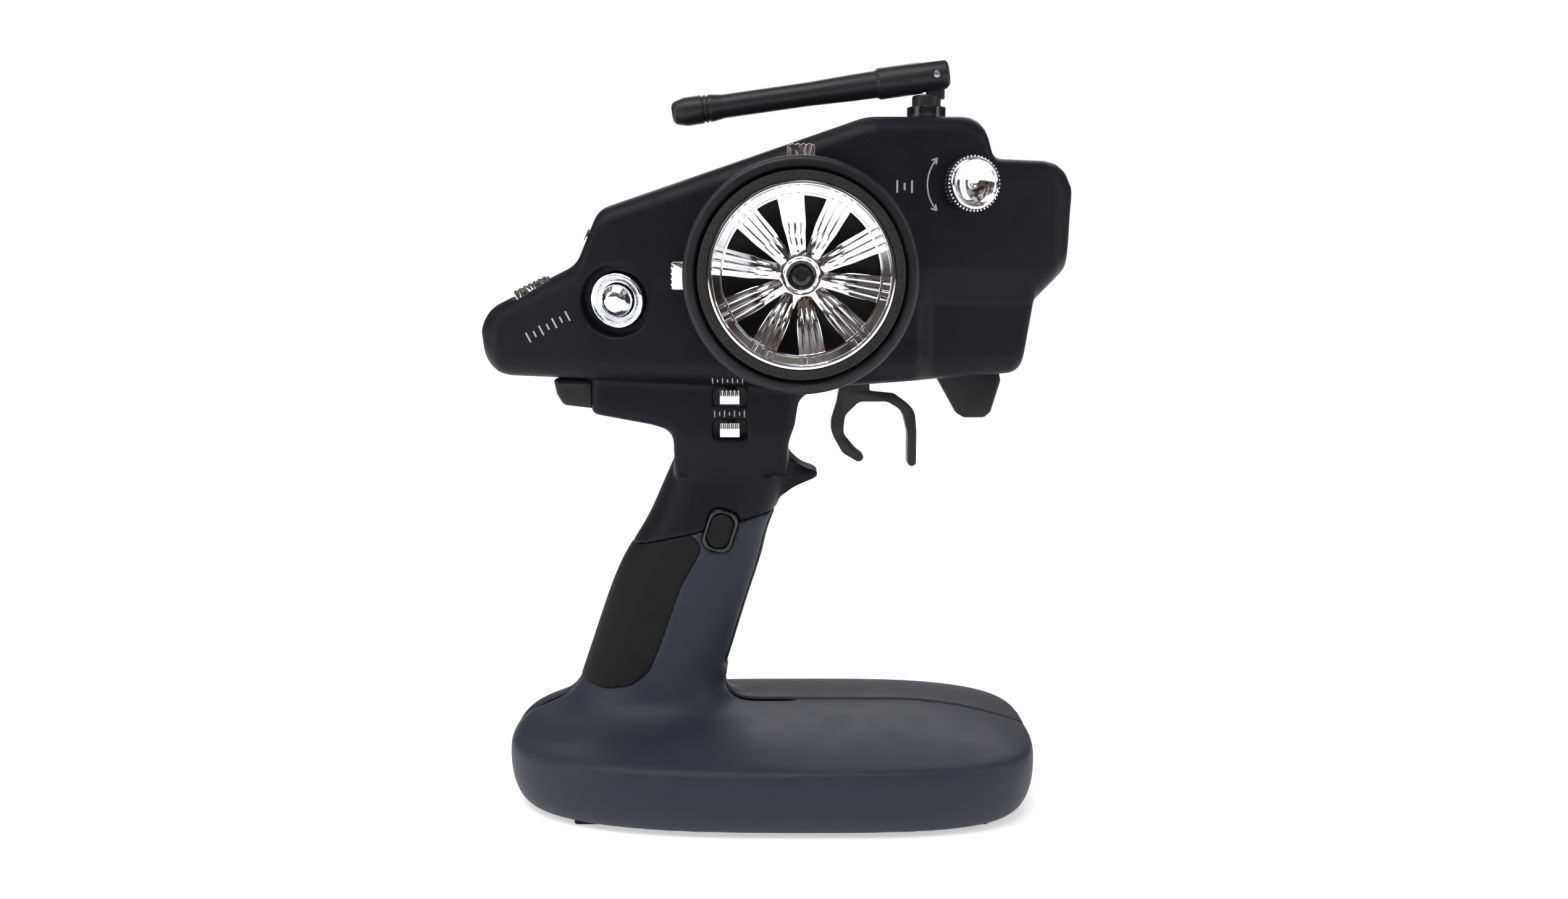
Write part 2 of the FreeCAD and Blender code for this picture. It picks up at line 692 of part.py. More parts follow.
def rubber_feet():
    """Four pads let into the underside near its corners."""
    feet = []
    for x in foot_places:
        for side in (-1, 1):
            foot = block(x - foot_half, x + foot_half, side * foot_y - foot_reach,
                         side * foot_y + foot_reach, 0, bottom + 0.5)
            upright = [edge for edge in foot.Edges if abs(edge.tangentAt(0).z) > 0.9]
            feet.append(foot.makeFillet(1.4, upright))
    return Part.makeCompound(feet)


# ---------------------------------------------------------------- steering

def steering_housing():
    """Round collar on the head's right side; the wheel sits in its recess."""
    radius, depth = size("housing_radius"), size("housing_depth")
    body = add_body("steering_housing", facing((wheel_x, -head_half, wheel_z), (0, -1, 0)))
    recess = size("housing_recess_radius")
    corners = [(bore, 0, 0), (radius, 0, 0), (radius, depth, 2.2), (recess, depth, 0.8),
               (recess, depth - 5.0, 0.5), (shaft + 4.5, depth - 5.0, 0), (shaft + 4.5, depth - 4.0, 0.3),
               (bore, depth - 4.0, 0)]
    sketch, _ = turned(body, corners, "housing_profile")
    for name, angle in (("top", trim_turn["steering_trim"]), ("rear", trim_turn["throttle_trim"])):
        place = Rotation(Vector(0, 0, 1), angle)
        middle = place.multVec(Vector(0, (trim_inner + radius) / 2 + 1, 0))
        long, wide = radius - trim_inner + 2, 13.4
        corners = [(-wide / 2, -long / 2, 0.4), (wide / 2, -long / 2, 0.4), (wide / 2, long / 2, 0.4),
                   (-wide / 2, long / 2, 0.4)]
        edges = []
        for edge in rounded_edges(corners):
            edge.rotate(Placement(Vector(0, 0, 0), place))
            edge.translate(middle)
            edges.append(edge)
        slot = sketch_on(body, "XY_Plane", name + "_slot", edges)
        slot.AttachmentOffset = Placement(Vector(0, 0, trim_back), Rotation())
        pocket = body.newObject("PartDesign::Pocket", name + "_pocket")
        pocket.Profile = slot
        pocket.Length = trim_thick + 2 * play
        pocket.Reversed = True
        doc.recompute()
    return body


# Trim levers swing behind the housing's recess; seen along the housing's own axis.
trim_turn = {"steering_trim": 0.0, "throttle_trim": 90.0}
trim_back = 1.6
trim_thick = 3.4
trim_inner = 22.0
trim_pivot = 25.0


def trim_lever(name):
    """Small rocker whose ribbed tab stands out of the housing's rim."""
    radius = size("housing_radius")
    turn = Placement(Vector(0, 0, 0), Rotation(Vector(0, 0, 1), trim_turn[name]))
    frame = facing((wheel_x, -head_half, wheel_z), (0, -1, 0)).multiply(turn)
    body = add_body(name, frame)
    tip = radius + 3.6
    corners = [(-2.6, trim_inner + 0.6, 2.4), (2.6, trim_inner + 0.6, 2.4), (2.6, radius - 3, 1),
               (4.0, radius - 1.4, 1), (4.0, tip, 1.0), (-4.0, tip, 1.0), (-4.0, radius - 1.4, 1),
               (-2.6, radius - 3, 1)]
    outline = sketch_on(body, "XY_Plane", name + "_outline", rounded_edges(corners))
    outline.AttachmentOffset = Placement(Vector(0, 0, trim_back + play), Rotation())
    pad(body, outline, trim_thick)
    hole = sketch_on(body, "XY_Plane", name + "_hole",
                     [Part.Circle(Vector(0, trim_pivot, 0), Vector(0, 0, 1), 1.05)])
    cut_through(body, hole)
    ribs = []
    for i in range(-2, 3):
        ribs.append(Part.Circle(Vector(i * 1.6, tip + 0.25, 0), Vector(0, 0, 1), 0.55))
    for i, rib in enumerate(ribs):
        groove = sketch_on(body, "XY_Plane", "%s_groove%d" % (name, i), [rib])
        cut_through(body, groove)
    return body


def trim_pins():
    """Pivot pins of the two trim levers, moulded steel dowels standing in the housing."""
    pins = []
    for angle in trim_turn.values():
        frame = facing((wheel_x, -head_half, wheel_z), (0, -1, 0))
        frame = frame.multiply(Placement(Vector(0, 0, 0), Rotation(Vector(0, 0, 1), angle)))
        pins.append(placed(rod(1.0, Vector(0, trim_pivot, trim_back), Vector(0, trim_pivot,
                           trim_back + trim_thick + 2 * play)), frame))
    return Part.makeCompound(pins)


def wheel_frame():
    """Own Z points out of the transmitter; z = 0 on the wheel's inner face."""
    return facing((wheel_x, -tyre_back, wheel_z), (0, -1, 0))


def wheel_rim():
    """Ten-spoke rim: barrel, web with windows between the spokes, hub."""
    body = add_body("wheel_rim", wheel_frame())
    rim, wide = size("wheel_rim_radius"), size("tyre_width")
    corners = [(shaft, 2.0, 0), (6.2, 2.0, 0), (6.2, 6.4, 0), (rim - 3.6, 8.0, 0), (rim - 3.6, 1.0, 0),
               (rim, 1.0, 0.3), (rim, wide, 0.6), (rim - 2.0, wide, 0.4), (rim - 4.0, wide - 2.2, 1.0),
               (7.0, wide - 3.6, 2.0), (4.6, wide - 3.2, 0.3), (4.6, wide - 6.4, 0), (shaft, wide - 6.4, 0)]
    sketch, _ = turned(body, corners, "rim_profile")
    step = 360.0 / size("spoke_count")
    near, out = 7.4, rim - 4.2
    lean_in, lean_out = math.radians(step * 0.10), math.radians(step * 0.27)
    window = [(near * math.sin(lean_in), near * math.cos(lean_in), 0.4),
              (out * math.sin(lean_out), out * math.cos(lean_out), 1.2),
              (-out * math.sin(lean_out), out * math.cos(lean_out), 1.2),
              (-near * math.sin(lean_in), near * math.cos(lean_in), 0.4)]
    hole = sketch_on(body, "XY_Plane", "rim_window", rounded_edges(window))
    pocket = cut_through(body, hole)
    polar(body, sketch, pocket, int(size("spoke_count")))
    return body


def wheel_tyre():
    """Foam tyre around the rim."""
    body = add_body("wheel_tyre", wheel_frame())
    rim, wide, outer = size("wheel_rim_radius"), size("tyre_width"), size("tyre_radius")
    corners = [(rim, 0.4, 0), (outer - 1.4, 0, 0.3), (outer, 2.2, 1.8), (outer, wide - 2.0, 1.8),
               (outer - 1.6, wide, 0.4), (rim, wide - 0.1, 0)]
    turned(body, corners, "tyre_profile")
    return body


def wheel_cap():
    """Screw and washer in the middle of the wheel."""
    body = add_body("wheel_cap", wheel_frame())
    wide = size("tyre_width")
    corners = [(0, wide - 6.4, 0), (4.5, wide - 6.4, 0), (4.5, wide - 4.6, 0.4), (3.1, wide - 4.6, 0),
               (3.1, wide - 3.6, 0.4), (1.5, wide - 3.6, 0), (1.5, wide - 5.0, 0), (0, wide - 5.0, 0)]
    turned(body, corners, "cap_profile")
    return body


shaft_inner_y = 8.0
shaft_outer_y = tyre_back + size("tyre_width") - 6.4


def wheel_shaft():
    shape = rod(shaft, Vector(wheel_x, -shaft_outer_y, wheel_z), Vector(wheel_x, -shaft_inner_y, wheel_z))
    flange = rod(shaft + 2.2, Vector(wheel_x, -head_half + wall + 1.2, wheel_z),
                 Vector(wheel_x, -head_half + wall + 2.4, wheel_z))
    return shape.fuse(flange)


def steering_bracket():
    """Plate inside the right shell with the shaft's inner bush."""
    plate = block(wheel_x - 16, wheel_x + 16, -15.4, -13.4, wheel_z - 14, wheel_z + 14)
    bush = rod(shaft + 2.4, Vector(wheel_x, -15.4, wheel_z), Vector(wheel_x, -12.4, wheel_z))
    legs = []
    for dx in (-13, 13):
        for dz in (-11, 11):
            legs.append(rod(2.4, Vector(wheel_x + dx, -head_half + wall, wheel_z + dz),
                            Vector(wheel_x + dx, -15.4, wheel_z + dz)))
    tunnel = rod(bore, Vector(wheel_x, -30, wheel_z), Vector(wheel_x, 0, wheel_z))
    return plate.fuse([bush] + legs).cut(tunnel)


def steering_spring():
    """Centring coil around the shaft, between its flange and the bracket."""
    reach = head_half - wall - 2.4 - 15.4
    shape = coil(shaft + 1.5, 0.45, 1.0, reach - 1.6)
    return placed(shape, facing((wheel_x, -15.4 - 0.6, wheel_z), (0, -1, 0)))


def pot_shape(radius, depth, shaft_r):
    """Rotary sensor standing on z = 0, open towards +z for the shaft's end, with three solder pins."""
    shape = Part.makeCylinder(radius, depth)
    shape = shape.cut(Part.makeCylinder(shaft_r, depth, Vector(0, 0, depth - 3.0)))
    pins = [centred(1.0, 4.0, 0.8, 1.4, y=radius + 1.0, x=dx) for dx in (-2.5, 0, 2.5)]
    return shape.fuse(pins)


# ---------------------------------------------------------------- trigger

def trigger_lever():
    """C-shaped trigger on a stem, with its pivot hub."""
    width = size("trigger_width")
    body = add_body("trigger_lever", Placement(Vector(trigger_x, 0, trigger_z), Rotation()))
    outline = [
        (-4.5, -2, 0.5), (5.0, -2, 0.5), (5.0, -17.4, 1.4), (13.2, -18.2, 3), (19.2, -22.6, 6),
        (19.8, -29.5, 8), (19.8, -40.6, 1.3), (17.1, -40.6, 1.3), (17.1, -30.4, 7), (15.4, -23.2, 6),
        (10.6, -20.3, 3), (1.8, -20.3, 3), (-2.6, -24.6, 4), (-3.2, -30.6, 5), (1.0, -35.6, 4),
        (3.8, -37.6, 1.5), (2.0, -39.6, 1.6), (-3.4, -36.4, 4), (-7.6, -28.8, 8), (-5.2, -21.0, 6),
        (-4.5, -17.0, 2),
    ]
    sketch = sketch_on(body, "XZ_Plane", "trigger_outline", rounded_edges(outline))
    pad(body, sketch, "Sizes.trigger_width", symmetric=True)
    hub = sketch_on(body, "XZ_Plane", "trigger_hub", [Part.Circle(Vector(0, 0, 0), Vector(0, 0, 1), 5.4)])
    pad(body, hub, width + 2.6, symmetric=True)
    hole = sketch_on(body, "XZ_Plane", "trigger_bore",
                     [Part.Circle(Vector(0, 0, 0), Vector(0, 0, 1), size("trigger_shaft_radius"))])
    cut_through(body, hole)
    return body


hub_half = size("trigger_width") / 2 + 1.3
cheek_in = hub_half + 2.6
cheek_out = cheek_in + 2.0


def trigger_shaft():
    radius = size("trigger_shaft_radius")
    return rod(radius, Vector(trigger_x, -cheek_out - 0.6, trigger_z),
               Vector(trigger_x, cheek_out + 3.2, trigger_z))


def trigger_bracket():
    """U-shaped frame that carries the trigger's shaft."""
    radius = size("trigger_shaft_radius") + size("shaft_fit")
    top = trigger_z + 9.0
    cheeks = [block(trigger_x - 8, trigger_x + 8, -cheek_out, -cheek_in, trigger_z - 8, top),
              block(trigger_x - 8, trigger_x + 8, cheek_in, cheek_out, trigger_z - 8, top)]
    bridge = block(trigger_x - 8, trigger_x + 8, -cheek_out, cheek_out, top - 2, top)
    shape = bridge.fuse(cheeks)
    return shape.cut(rod(radius, Vector(trigger_x, -40, trigger_z), Vector(trigger_x, 40, trigger_z)))


def trigger_spring():
    shape = coil(size("trigger_shaft_radius") + 1.2, 0.4, 0.9, cheek_in - hub_half - 1.0)
    return placed(shape, facing((trigger_x, -hub_half - 0.5, trigger_z), (0, -1, 0)))


# ---------------------------------------------------------------- knob, buttons and levers

def dr_knob():
    """Knurled chrome knob with a dished face."""
    body = add_body("dr_knob", knob_frame.multiply(Placement(Vector(0, 0, play), Rotation())))
    radius, height = size("knob_radius"), size("knob_height")
    corners = [(0, 0, 0), (radius - 0.8, 0, 0.4), (radius, 1.2, 0.4), (radius, height - 1.6, 0.6),
               (radius - 1.4, height, 0.5), (radius - 2.4, height - 0.2, 0.3), (1.4, height - 1.2, 0.4),
               (0.9, height - 1.8, 0.2), (0, height - 1.8, 0)]
    sketch, _ = turned(body, corners, "knob_profile")
    groove = sketch_on(body, "XY_Plane", "knob_groove",
                       [Part.Circle(Vector(radius + 0.18, 0, 0), Vector(0, 0, 1), 0.45)])
    pocket = cut_through(body, groove)
    polar(body, sketch, pocket, 44)
    return body


def knob_stem():
    return placed(rod(3.0, Vector(0, 0, -7.0), Vector(0, 0, play)), knob_frame)


def aux_bezel():
    """Dished chrome ring around the push button."""
    body = add_body("aux_bezel", aux_frame)
    inner, outer = dome_radius + 0.35, ring_radius
    corners = [(inner, -6.2, 0), (outer, -6.2, 0), (outer, 0.2, 0.2), (outer - 0.8, 0.6, 0.4),
               (inner + 0.6, -1.2, 0.5), (inner, -1.2, 0.2)]
    turned(body, corners, "bezel_profile")
    return body


def aux_button():
    body = add_body("aux_button", aux_frame)
    corners = [(0, -8.6, 0), (dome_radius - 1.8, -8.6, 0), (dome_radius - 1.8, -6.6, 0),
               (dome_radius, -6.2, 0.2), (dome_radius, 0.6, 1.4), (dome_radius - 2.0, 2.5, 2.5), (0, 3.0, 0)]
    turned(body, corners, "button_profile")
    return body


def aux_switch_body():
    shell = centred(13, 13, -13.0, -8.6 - size("aux_travel") - 0.3)
    return placed(shell, aux_frame)


def grip_bezel():
    """Dark frame around the oval button in the handle's right side."""
    ring = grip_button_rod(1.15, -3.4, 0.7)
    ring = ring.cut(grip_button_rod(0.3, -5, 2))
    return ring


def grip_button():
    face = grip_button_rod(0.0, -5.0, 0.9)
    rims = [edge for edge in face.Edges if edge.CenterOfMass.y < grip_button_frame.Base.y - 0.85]
    return face.makeFillet(0.5, rims)


def grip_switch_body():
    return placed(centred(6, 8, -10.4, -5.0 - size("grip_button_travel") - 0.2), grip_button_frame)


def aux_lever(name, height):
    """Thumb lever with a ribbed tab; it swings about an upright pin inside the neck."""
    arm = 11.0
    pivot_y = -lever_face + arm
    body = add_body(name, Placement(Vector(lever_x, pivot_y, height), Rotation()))
    tip = arm + 1.5
    tab = 3.05
    steps = [(-2.0, 2.0, 1.9), (2.0, 2.0, 1.9), (2.0, -arm + 4.0, 0.4), (tab, -arm + 3.0, 0.4),
             (tab, -tip, 0.5), (-tab, -tip, 0.5), (-tab, -arm + 3.0, 0.4), (-2.0, -arm + 4.0, 0.4)]
    outline = sketch_on(body, "XY_Plane", name + "_outline", rounded_edges(steps))
    pad(body, outline, 4.2, symmetric=True)
    holes = sketch_on(body, "XY_Plane", name + "_hole",
                      [Part.Circle(Vector(0, 0, 0), Vector(0, 0, 1), 1.05)])
    cut_through(body, holes)
    for i in range(5):
        x = -tab + 0.61 + i * 1.22
        groove = sketch_on(body, "XY_Plane", "%s_groove%d" % (name, i),
                           [Part.Circle(Vector(x, -tip - 0.12, 0), Vector(0, 0, 1), 0.42)])
        cut_through(body, groove)
    return body


def lever_carrier():
    """Small frame inside the neck whose pins carry the two thumb levers."""
    pivot_y = -lever_face + 11.0
    heights = list(aux_levers.values())
    low, high = min(heights) - 6.0, max(heights) + 6.0
    back = block(lever_x - 6, lever_x + 6, pivot_y + 3.4, pivot_y + 5.0, low, high)
    pins = []
    shelves = []
    for height in heights:
        pins.append(rod(1.0, Vector(lever_x, pivot_y, height - 2.6), Vector(lever_x, pivot_y, height + 2.6)))
        for level in (height - 3.6, height + 2.6):
            shelves.append(block(lever_x - 3, lever_x + 3, pivot_y - 1.6, pivot_y + 3.4, level, level + 1.0))
    return back.fuse(pins + shelves)


# ---------------------------------------------------------------- tail controls

def tail_panel():
    return placed(centred(16.8, 21.8, -wall - 1.0, -0.3), tail_slope)


rocker_pin_radius = 0.6
rocker_pin_z = -3.4


def menu_rocker(name, side):
    """Ribbed two-way key beside the display; it rocks about a pin across the tail."""
    body = add_body(name, tail_slope.multiply(Placement(Vector(0, 15.2 * side, 0), Rotation())))
    long, crown, low = 5.6, 1.3, -5.0
    corners = [(-long, low, 0.4), (long, low, 0.4), (long, crown, 0.9), (-long, crown, 0.9)]
    outline = sketch_on(body, "XZ_Plane", name + "_outline", rounded_edges(corners))
    pad(body, outline, 4.8, symmetric=True)
    for i in range(6):
        groove = sketch_on(body, "XZ_Plane", "%s_groove%d" % (name, i),
                           [Part.Circle(Vector(-4.0 + i * 1.6, crown + 0.15, 0), Vector(0, 0, 1), 0.5)])
        cut_through(body, groove)
    hole = sketch_on(body, "XZ_Plane", name + "_hole",
                     [Part.Circle(Vector(0, rocker_pin_z, 0), Vector(0, 0, 1), rocker_pin_radius + 0.15)])
    cut_through(body, hole)
    return body


switch_travel = 5.0


def power_switch():
    """Ribbed slider, drawn at the off end of its slot."""
    place = rear_slope.multiply(Placement(Vector(0, -switch_travel / 2, 0), Rotation()))
    body = add_body("power_switch", place)
    corners = [(-1.9, -3.2, 0), (1.9, -3.2, 0), (1.9, 2.6, 0.5), (-1.9, 2.6, 0.5)]
    outline = sketch_on(body, "XZ_Plane", "switch_outline", rounded_edges(corners))
    pad(body, outline, 6.0, symmetric=True)
    for i in range(4):
        y = -2.1 + i * 1.4
        groove = sketch_on(body, "YZ_Plane", "switch_groove%d" % i,
                           [Part.Circle(Vector(y, 2.75, 0), Vector(0, 0, 1), 0.45)])
        cut_through(body, groove)
    return body


def power_switch_body():
    return placed(centred(6.4, 17.0, -9.0, -3.4), rear_slope)


def status_lens():
    return placed(rod(1.6, Vector(0, 14, -wall - 1), Vector(0, 14, 0.5)), rear_slope)


def lcd_module():
    """Display on its carrier, whose ears hold the pins of the two keys."""
    shape = centred(24.0, 24.8, -9.0, -6.6).fuse(centred(15.0, 20.0, -6.6, -3.6))
    for side in (-1, 1):
        ear = centred(3.6, 1.3, -9.0, rocker_pin_z + 0.8, y=11.75 * side)
        pin = rod(rocker_pin_radius, Vector(0, 11.4 * side, rocker_pin_z),
                  Vector(0, 17.4 * side, rocker_pin_z))
        shape = shape.fuse([ear, pin])
    return placed(shape, tail_slope)


# ---------------------------------------------------------------- port cover, fin, handle trim

def port_cover():
    """Removable block under the tail that covers the charging and link sockets."""
    corners = [(-56.3, 133.4, 0), (-68.0, 133.8, 1.0), (-67.0, 129.0, 2), (-65.0, 125.6, 2.6),
               (-56.3, 124.6, 0)]
    shape = side_wall(corners, -lever_face + 2.4, lever_face - 2.4)
    rims = [edge for edge in shape.Edges
            if abs(abs(edge.CenterOfMass.y) - (lever_face - 2.4)) < 0.01 and edge.CenterOfMass.z < 133
            and edge.CenterOfMass.x < -57]
    return shape.makeFillet(1.6, rims).cut(head_block(0))


def front_fin():
    """Thin guard under the nose, in front of the trigger."""
    corners = [(50.0, 135.6, 0), (50.4, 132.6, 1), (56.4, 121.9, 2.5), (58.8, 120.5, 2), (65.2, 120.5, 2),
               (67.2, 122.2, 2), (70.2, 132.1, 2), (69.4, 136.4, 0)]
    shape = side_wall(corners, -2.6, 2.6)
    shape = shape.cut(head_block(0))
    rims = [edge for edge in shape.Edges
            if abs(abs(edge.CenterOfMass.y) - 2.6) < 0.01 and edge.CenterOfMass.z < 132.0]
    return shape.makeFillet(0.9, rims)


def palm_pad():
    shape = palm_area.cut([above_split(), grip_button_rod(1.2, -9, 4)])
    return max(shape.Solids, key=lambda solid: solid.Volume)


def front_strip():
    return max(strip_area.cut(above_split()).Solids, key=lambda solid: solid.Volume)


# ---------------------------------------------------------------- antenna

def antenna_collar():
    """Castellated boss screwed into the head's top."""
    body = add_body("antenna_collar", Placement(Vector(size("antenna_x"), 0, size("head_top")), Rotation()))
    outer, inner = size("collar_radius"), size("barrel_radius") - 1.2
    corners = [(inner, -6, 0), (3.9, -6, 0), (3.9, 0, 0), (outer, 0, 0), (outer, 4.2, 0.3),
               (size("barrel_radius") + 0.15, 4.2, 0), (size("barrel_radius") + 0.15, 1.2, 0), (inner, 1.2, 0)]
    sketch, _ = turned(body, corners, "collar_profile")
    slit = [(outer - 1.2, -0.5, 0), (outer + 1, -0.5, 0), (outer + 1, 0.5, 0), (outer - 1.2, 0.5, 0)]
    cutter = sketch_on(body, "XY_Plane", "collar_slit", rounded_edges(slit))
    cutter.AttachmentOffset = Placement(Vector(0, 0, 2.0), Rotation())
    pocket = body.newObject("PartDesign::Pocket", "collar_slit_pocket")
    pocket.Profile = cutter
    pocket.Length = 4
    pocket.Reversed = True
    doc.recompute()
    polar(body, sketch, pocket, 10)
    return body


antenna_pivot = Vector(size("antenna_pivot_x"), 0, size("antenna_pivot_z"))
tongue_half = 1.9


def antenna_base():
    """Swivelling barrel with the tongue that the antenna folds on."""
    radius = size("barrel_radius")
    x = size("antenna_x")
    low = size("head_top") + 1.4
    top = size("antenna_pivot_z") - 6.0
    barrel = rod(radius, Vector(x, 0, low), Vector(x, 0, top))
    stem = rod(radius - 1.4, Vector(x, 0, low - 6.0), Vector(x, 0, low))
    shape = barrel.makeFillet(0.7, [edge for edge in barrel.Edges if edge.CenterOfMass.z > top - 0.1
                                    and edge.Curve.TypeId == "Part::GeomCircle"]).fuse(stem)
    pivot = antenna_pivot
    tongue = side_wall([(pivot.x - 2.7, top - 1, 0), (pivot.x + 2.7, top - 1, 0), (pivot.x + 2.7, pivot.z, 0),
                        (pivot.x + 2.7, pivot.z + 2.7, 2.7), (pivot.x - 2.7, pivot.z + 2.7, 2.7),
                        (pivot.x - 2.7, pivot.z, 0)], -tongue_half, tongue_half)
    shape = shape.fuse(tongue)
    return shape.cut(rod(1.15 + size("shaft_fit"), Vector(pivot.x, -6, pivot.z), Vector(pivot.x, 6, pivot.z)))


def antenna_rod():
    """Jointed end, tapering sleeve and grooved tip, in the folded-down direction."""
    droop = math.radians(size("antenna_droop"))
    frame = facing(antenna_pivot, (-math.cos(droop), 0, -math.sin(droop)))
    length = size("antenna_length")
    profile = [
        (0, -4.0, 0), (4.6, -4.0, 1.2), (4.75, 4, 0), (4.75, 17.5, 0.6), (4.1, 18.6, 0.6), (4.0, 26, 0),
        (3.6, 40, 8), (3.6, length - 16, 4), (4.15, length - 12.4, 0.5), (4.15, length - 11.6, 0),
        (3.85, length - 11.4, 0), (3.85, length - 11.0, 0), (4.2, length - 10.8, 0), (4.2, length - 10.2, 0),
        (3.9, length - 10.0, 0), (3.9, length - 9.6, 0), (4.3, length - 9.4, 0), (4.35, length - 4.2, 3),
        (3.2, length, 2.6), (0, length, 0),
    ]
    body = add_body("antenna_rod", frame)
    turned(body, profile, "antenna_profile")
    slot_half = tongue_half + 0.3
    slot = [(-7, -slot_half, 0), (-7, slot_half, 0), (7, slot_half, 0), (7, -slot_half, 0)]
    cutter = sketch_on(body, "XY_Plane", "fork_slot", rounded_edges(slot))
    cutter.AttachmentOffset = Placement(Vector(0, 0, -8), Rotation())
    pocket = body.newObject("PartDesign::Pocket", "fork_pocket")
    pocket.Profile = cutter
    pocket.Length = 8 + 4.6
    pocket.Reversed = True
    doc.recompute()
    hole = sketch_on(body, "XZ_Plane", "fork_hole", [Part.Circle(Vector(0, 0, 0), Vector(0, 0, 1), 1.15)])
    cut_through(body, hole)
    return body


def antenna_pin():
    pivot = antenna_pivot
    return rod(1.15, Vector(pivot.x, -4.5, pivot.z), Vector(pivot.x, 4.5, pivot.z))


# ---------------------------------------------------------------- electronics and leads

board_y = 13.0


def main_board():
    """Circuit board standing beside the middle plane, with its larger components."""
    board = block(-42, 44, board_y, board_y + 1.6, 156, 196)
    outline = head_block(wall + 1.2)
    board = board.common(outline).cut([rod(screw_post_radius + 0.5, Vector(x, 0, z), Vector(x, 40, z))
                                       for x, z in screw_places["head"]])
    chips = [block(-22, -10, board_y - 1.4, board_y, 168, 180), block(2, 9, board_y - 1.2, board_y, 176, 183),
             block(-34, -26, board_y - 6.5, board_y, 160, 166), rod(3.0, Vector(24, board_y - 7, 186),
                                                                     Vector(24, board_y, 186)),
             rod(3.0, Vector(32, board_y - 7, 186), Vector(32, board_y, 186))]
    return board.fuse(chips).Solids[0]


def rf_module():
    can = block(68, 81, -6.5, 6.5, 172, 192)
    board = block(66, 82, -7.5, -6.5, 169.5, 193.5)
    return can.fuse(board)


def antenna_lead():
    x = size("antenna_x")
    low = size("head_top") - 4.6
    points = [Vector(x, 0, low), Vector(x, 0, low - 8), Vector(x + 5, 1.0, low - 16),
              Vector(x + 13.0, 2.0, low - 21), Vector(67.8, 2.0, low - 22.5)]
    return tube_path(points, 0.7)


def battery_lead():
    """Two-core lead from the battery tray, up through the handle, to the main board."""
    top = cell_height + size("cell_radius") + 2.2
    points = [Vector(-44, 4, top), Vector(-44, 4, top + 14), Vector(-35.5, 4, top + 42),
              Vector(-25, 4, top + 66), Vector(-16.5, 5.0, top + 88), Vector(-15.0, 5, top + 116),
              Vector(-16.0, board_y - 4.5, top + 133)]
    return tube_path(points, 1.3)


def case_screws():
    """Self-tapping screws from the left side."""
    screws = []
    for pair, places in screw_places.items():
        for x, z in places:
            screws.append(rod(screw_radius, Vector(x, -9, z), Vector(x, 9, z)).fuse(
                rod(screw_radius + 1.1, Vector(x, 9, z), Vector(x, 10.6, z))))
    return Part.makeCompound(screws)


# ---------------------------------------------------------------- build everything

grip_skin = lofted(grip_sections, 0)
grip_core = lofted(grip_sections, wall + size("pad_depth"))
palm_area = pad_region(0).common(grip_skin.cut(lofted(grip_sections, size("pad_depth"))))
strip_area = strip_region(0).common(grip_skin.cut(lofted(grip_sections, size("strip_depth"))))
head_right, head_left = head_shells()
base_right, base_left = base_shells()
add_feature("head_shell_right", head_right)
add_feature("head_shell_left", head_left)
add_feature("base_shell_right", base_right)
add_feature("base_shell_left", base_left)
add_feature("battery_door", battery_door())
add_feature("battery_tray", battery_tray())
add_feature("battery_cells", battery_cells())
add_feature("cell_contacts", cell_contacts())
add_feature("rubber_feet", rubber_feet())
add_feature("palm_pad", palm_pad())
add_feature("front_strip", front_strip())
add_feature("port_cover", port_cover())
add_feature("front_fin", front_fin())
add_feature("case_screws", case_screws())

steering_housing()
trim_lever("steering_trim")
trim_lever("throttle_trim")
add_feature("trim_pins", trim_pins())
wheel_rim()
wheel_tyre()
wheel_cap()
add_feature("wheel_shaft", wheel_shaft())
add_feature("steering_bracket", steering_bracket())
add_feature("steering_spring", steering_spring())
add_feature("steering_sensor", placed(pot_shape(8.0, 6.5, bore), facing((wheel_x, -4.0, wheel_z), (0, -1, 0))))

trigger_lever()
add_feature("trigger_shaft", trigger_shaft())
add_feature("trigger_bracket", trigger_bracket())
add_feature("trigger_spring", trigger_spring())
add_feature("trigger_sensor", placed(pot_shape(5.0, 5.0, size("trigger_shaft_radius") + size("shaft_fit")),
                                     facing((trigger_x, cheek_out + 6.0, trigger_z), (0, -1, 0))))

dr_knob()
add_feature("knob_stem", knob_stem())
add_feature("knob_sensor", placed(pot_shape(6.0, 5.0, 3.05), knob_frame.multiply(
    Placement(Vector(0, 0, -10.4), Rotation()))))
aux_bezel()
aux_button()
add_feature("aux_switch_body", aux_switch_body())
add_feature("grip_bezel", grip_bezel())
add_feature("grip_button", grip_button())
add_feature("grip_switch_body", grip_switch_body())
for lever_name, lever_height in aux_levers.items():
    aux_lever(lever_name, lever_height)
add_feature("lever_carrier", lever_carrier())
add_feature("lcd_window", tail_panel())
add_feature("lcd_module", lcd_module())
menu_rocker("menu_rocker_right", -1)
menu_rocker("menu_rocker_left", 1)
power_switch()
add_feature("power_switch_body", power_switch_body())
add_feature("status_lens", status_lens())
antenna_collar()
add_feature("antenna_base", antenna_base())
antenna_rod()
add_feature("antenna_pin", antenna_pin())
add_feature("main_board", main_board())
add_feature("rf_module", rf_module())
add_feature("antenna_lead", antenna_lead())
add_feature("battery_lead", battery_lead())

doc.recompute()
for item in doc.Objects:
    if "Invalid" in item.State or "Error" in item.State:
        raise RuntimeError("%s failed: %s" % (item.Name, item.State))
for name, item in parts.items():
    shape = item.Shape
    if shape.isNull() or not shape.isValid() or not shape.Solids or shape.Volume <= 0:
        raise RuntimeError("%s has no good solid" % name)

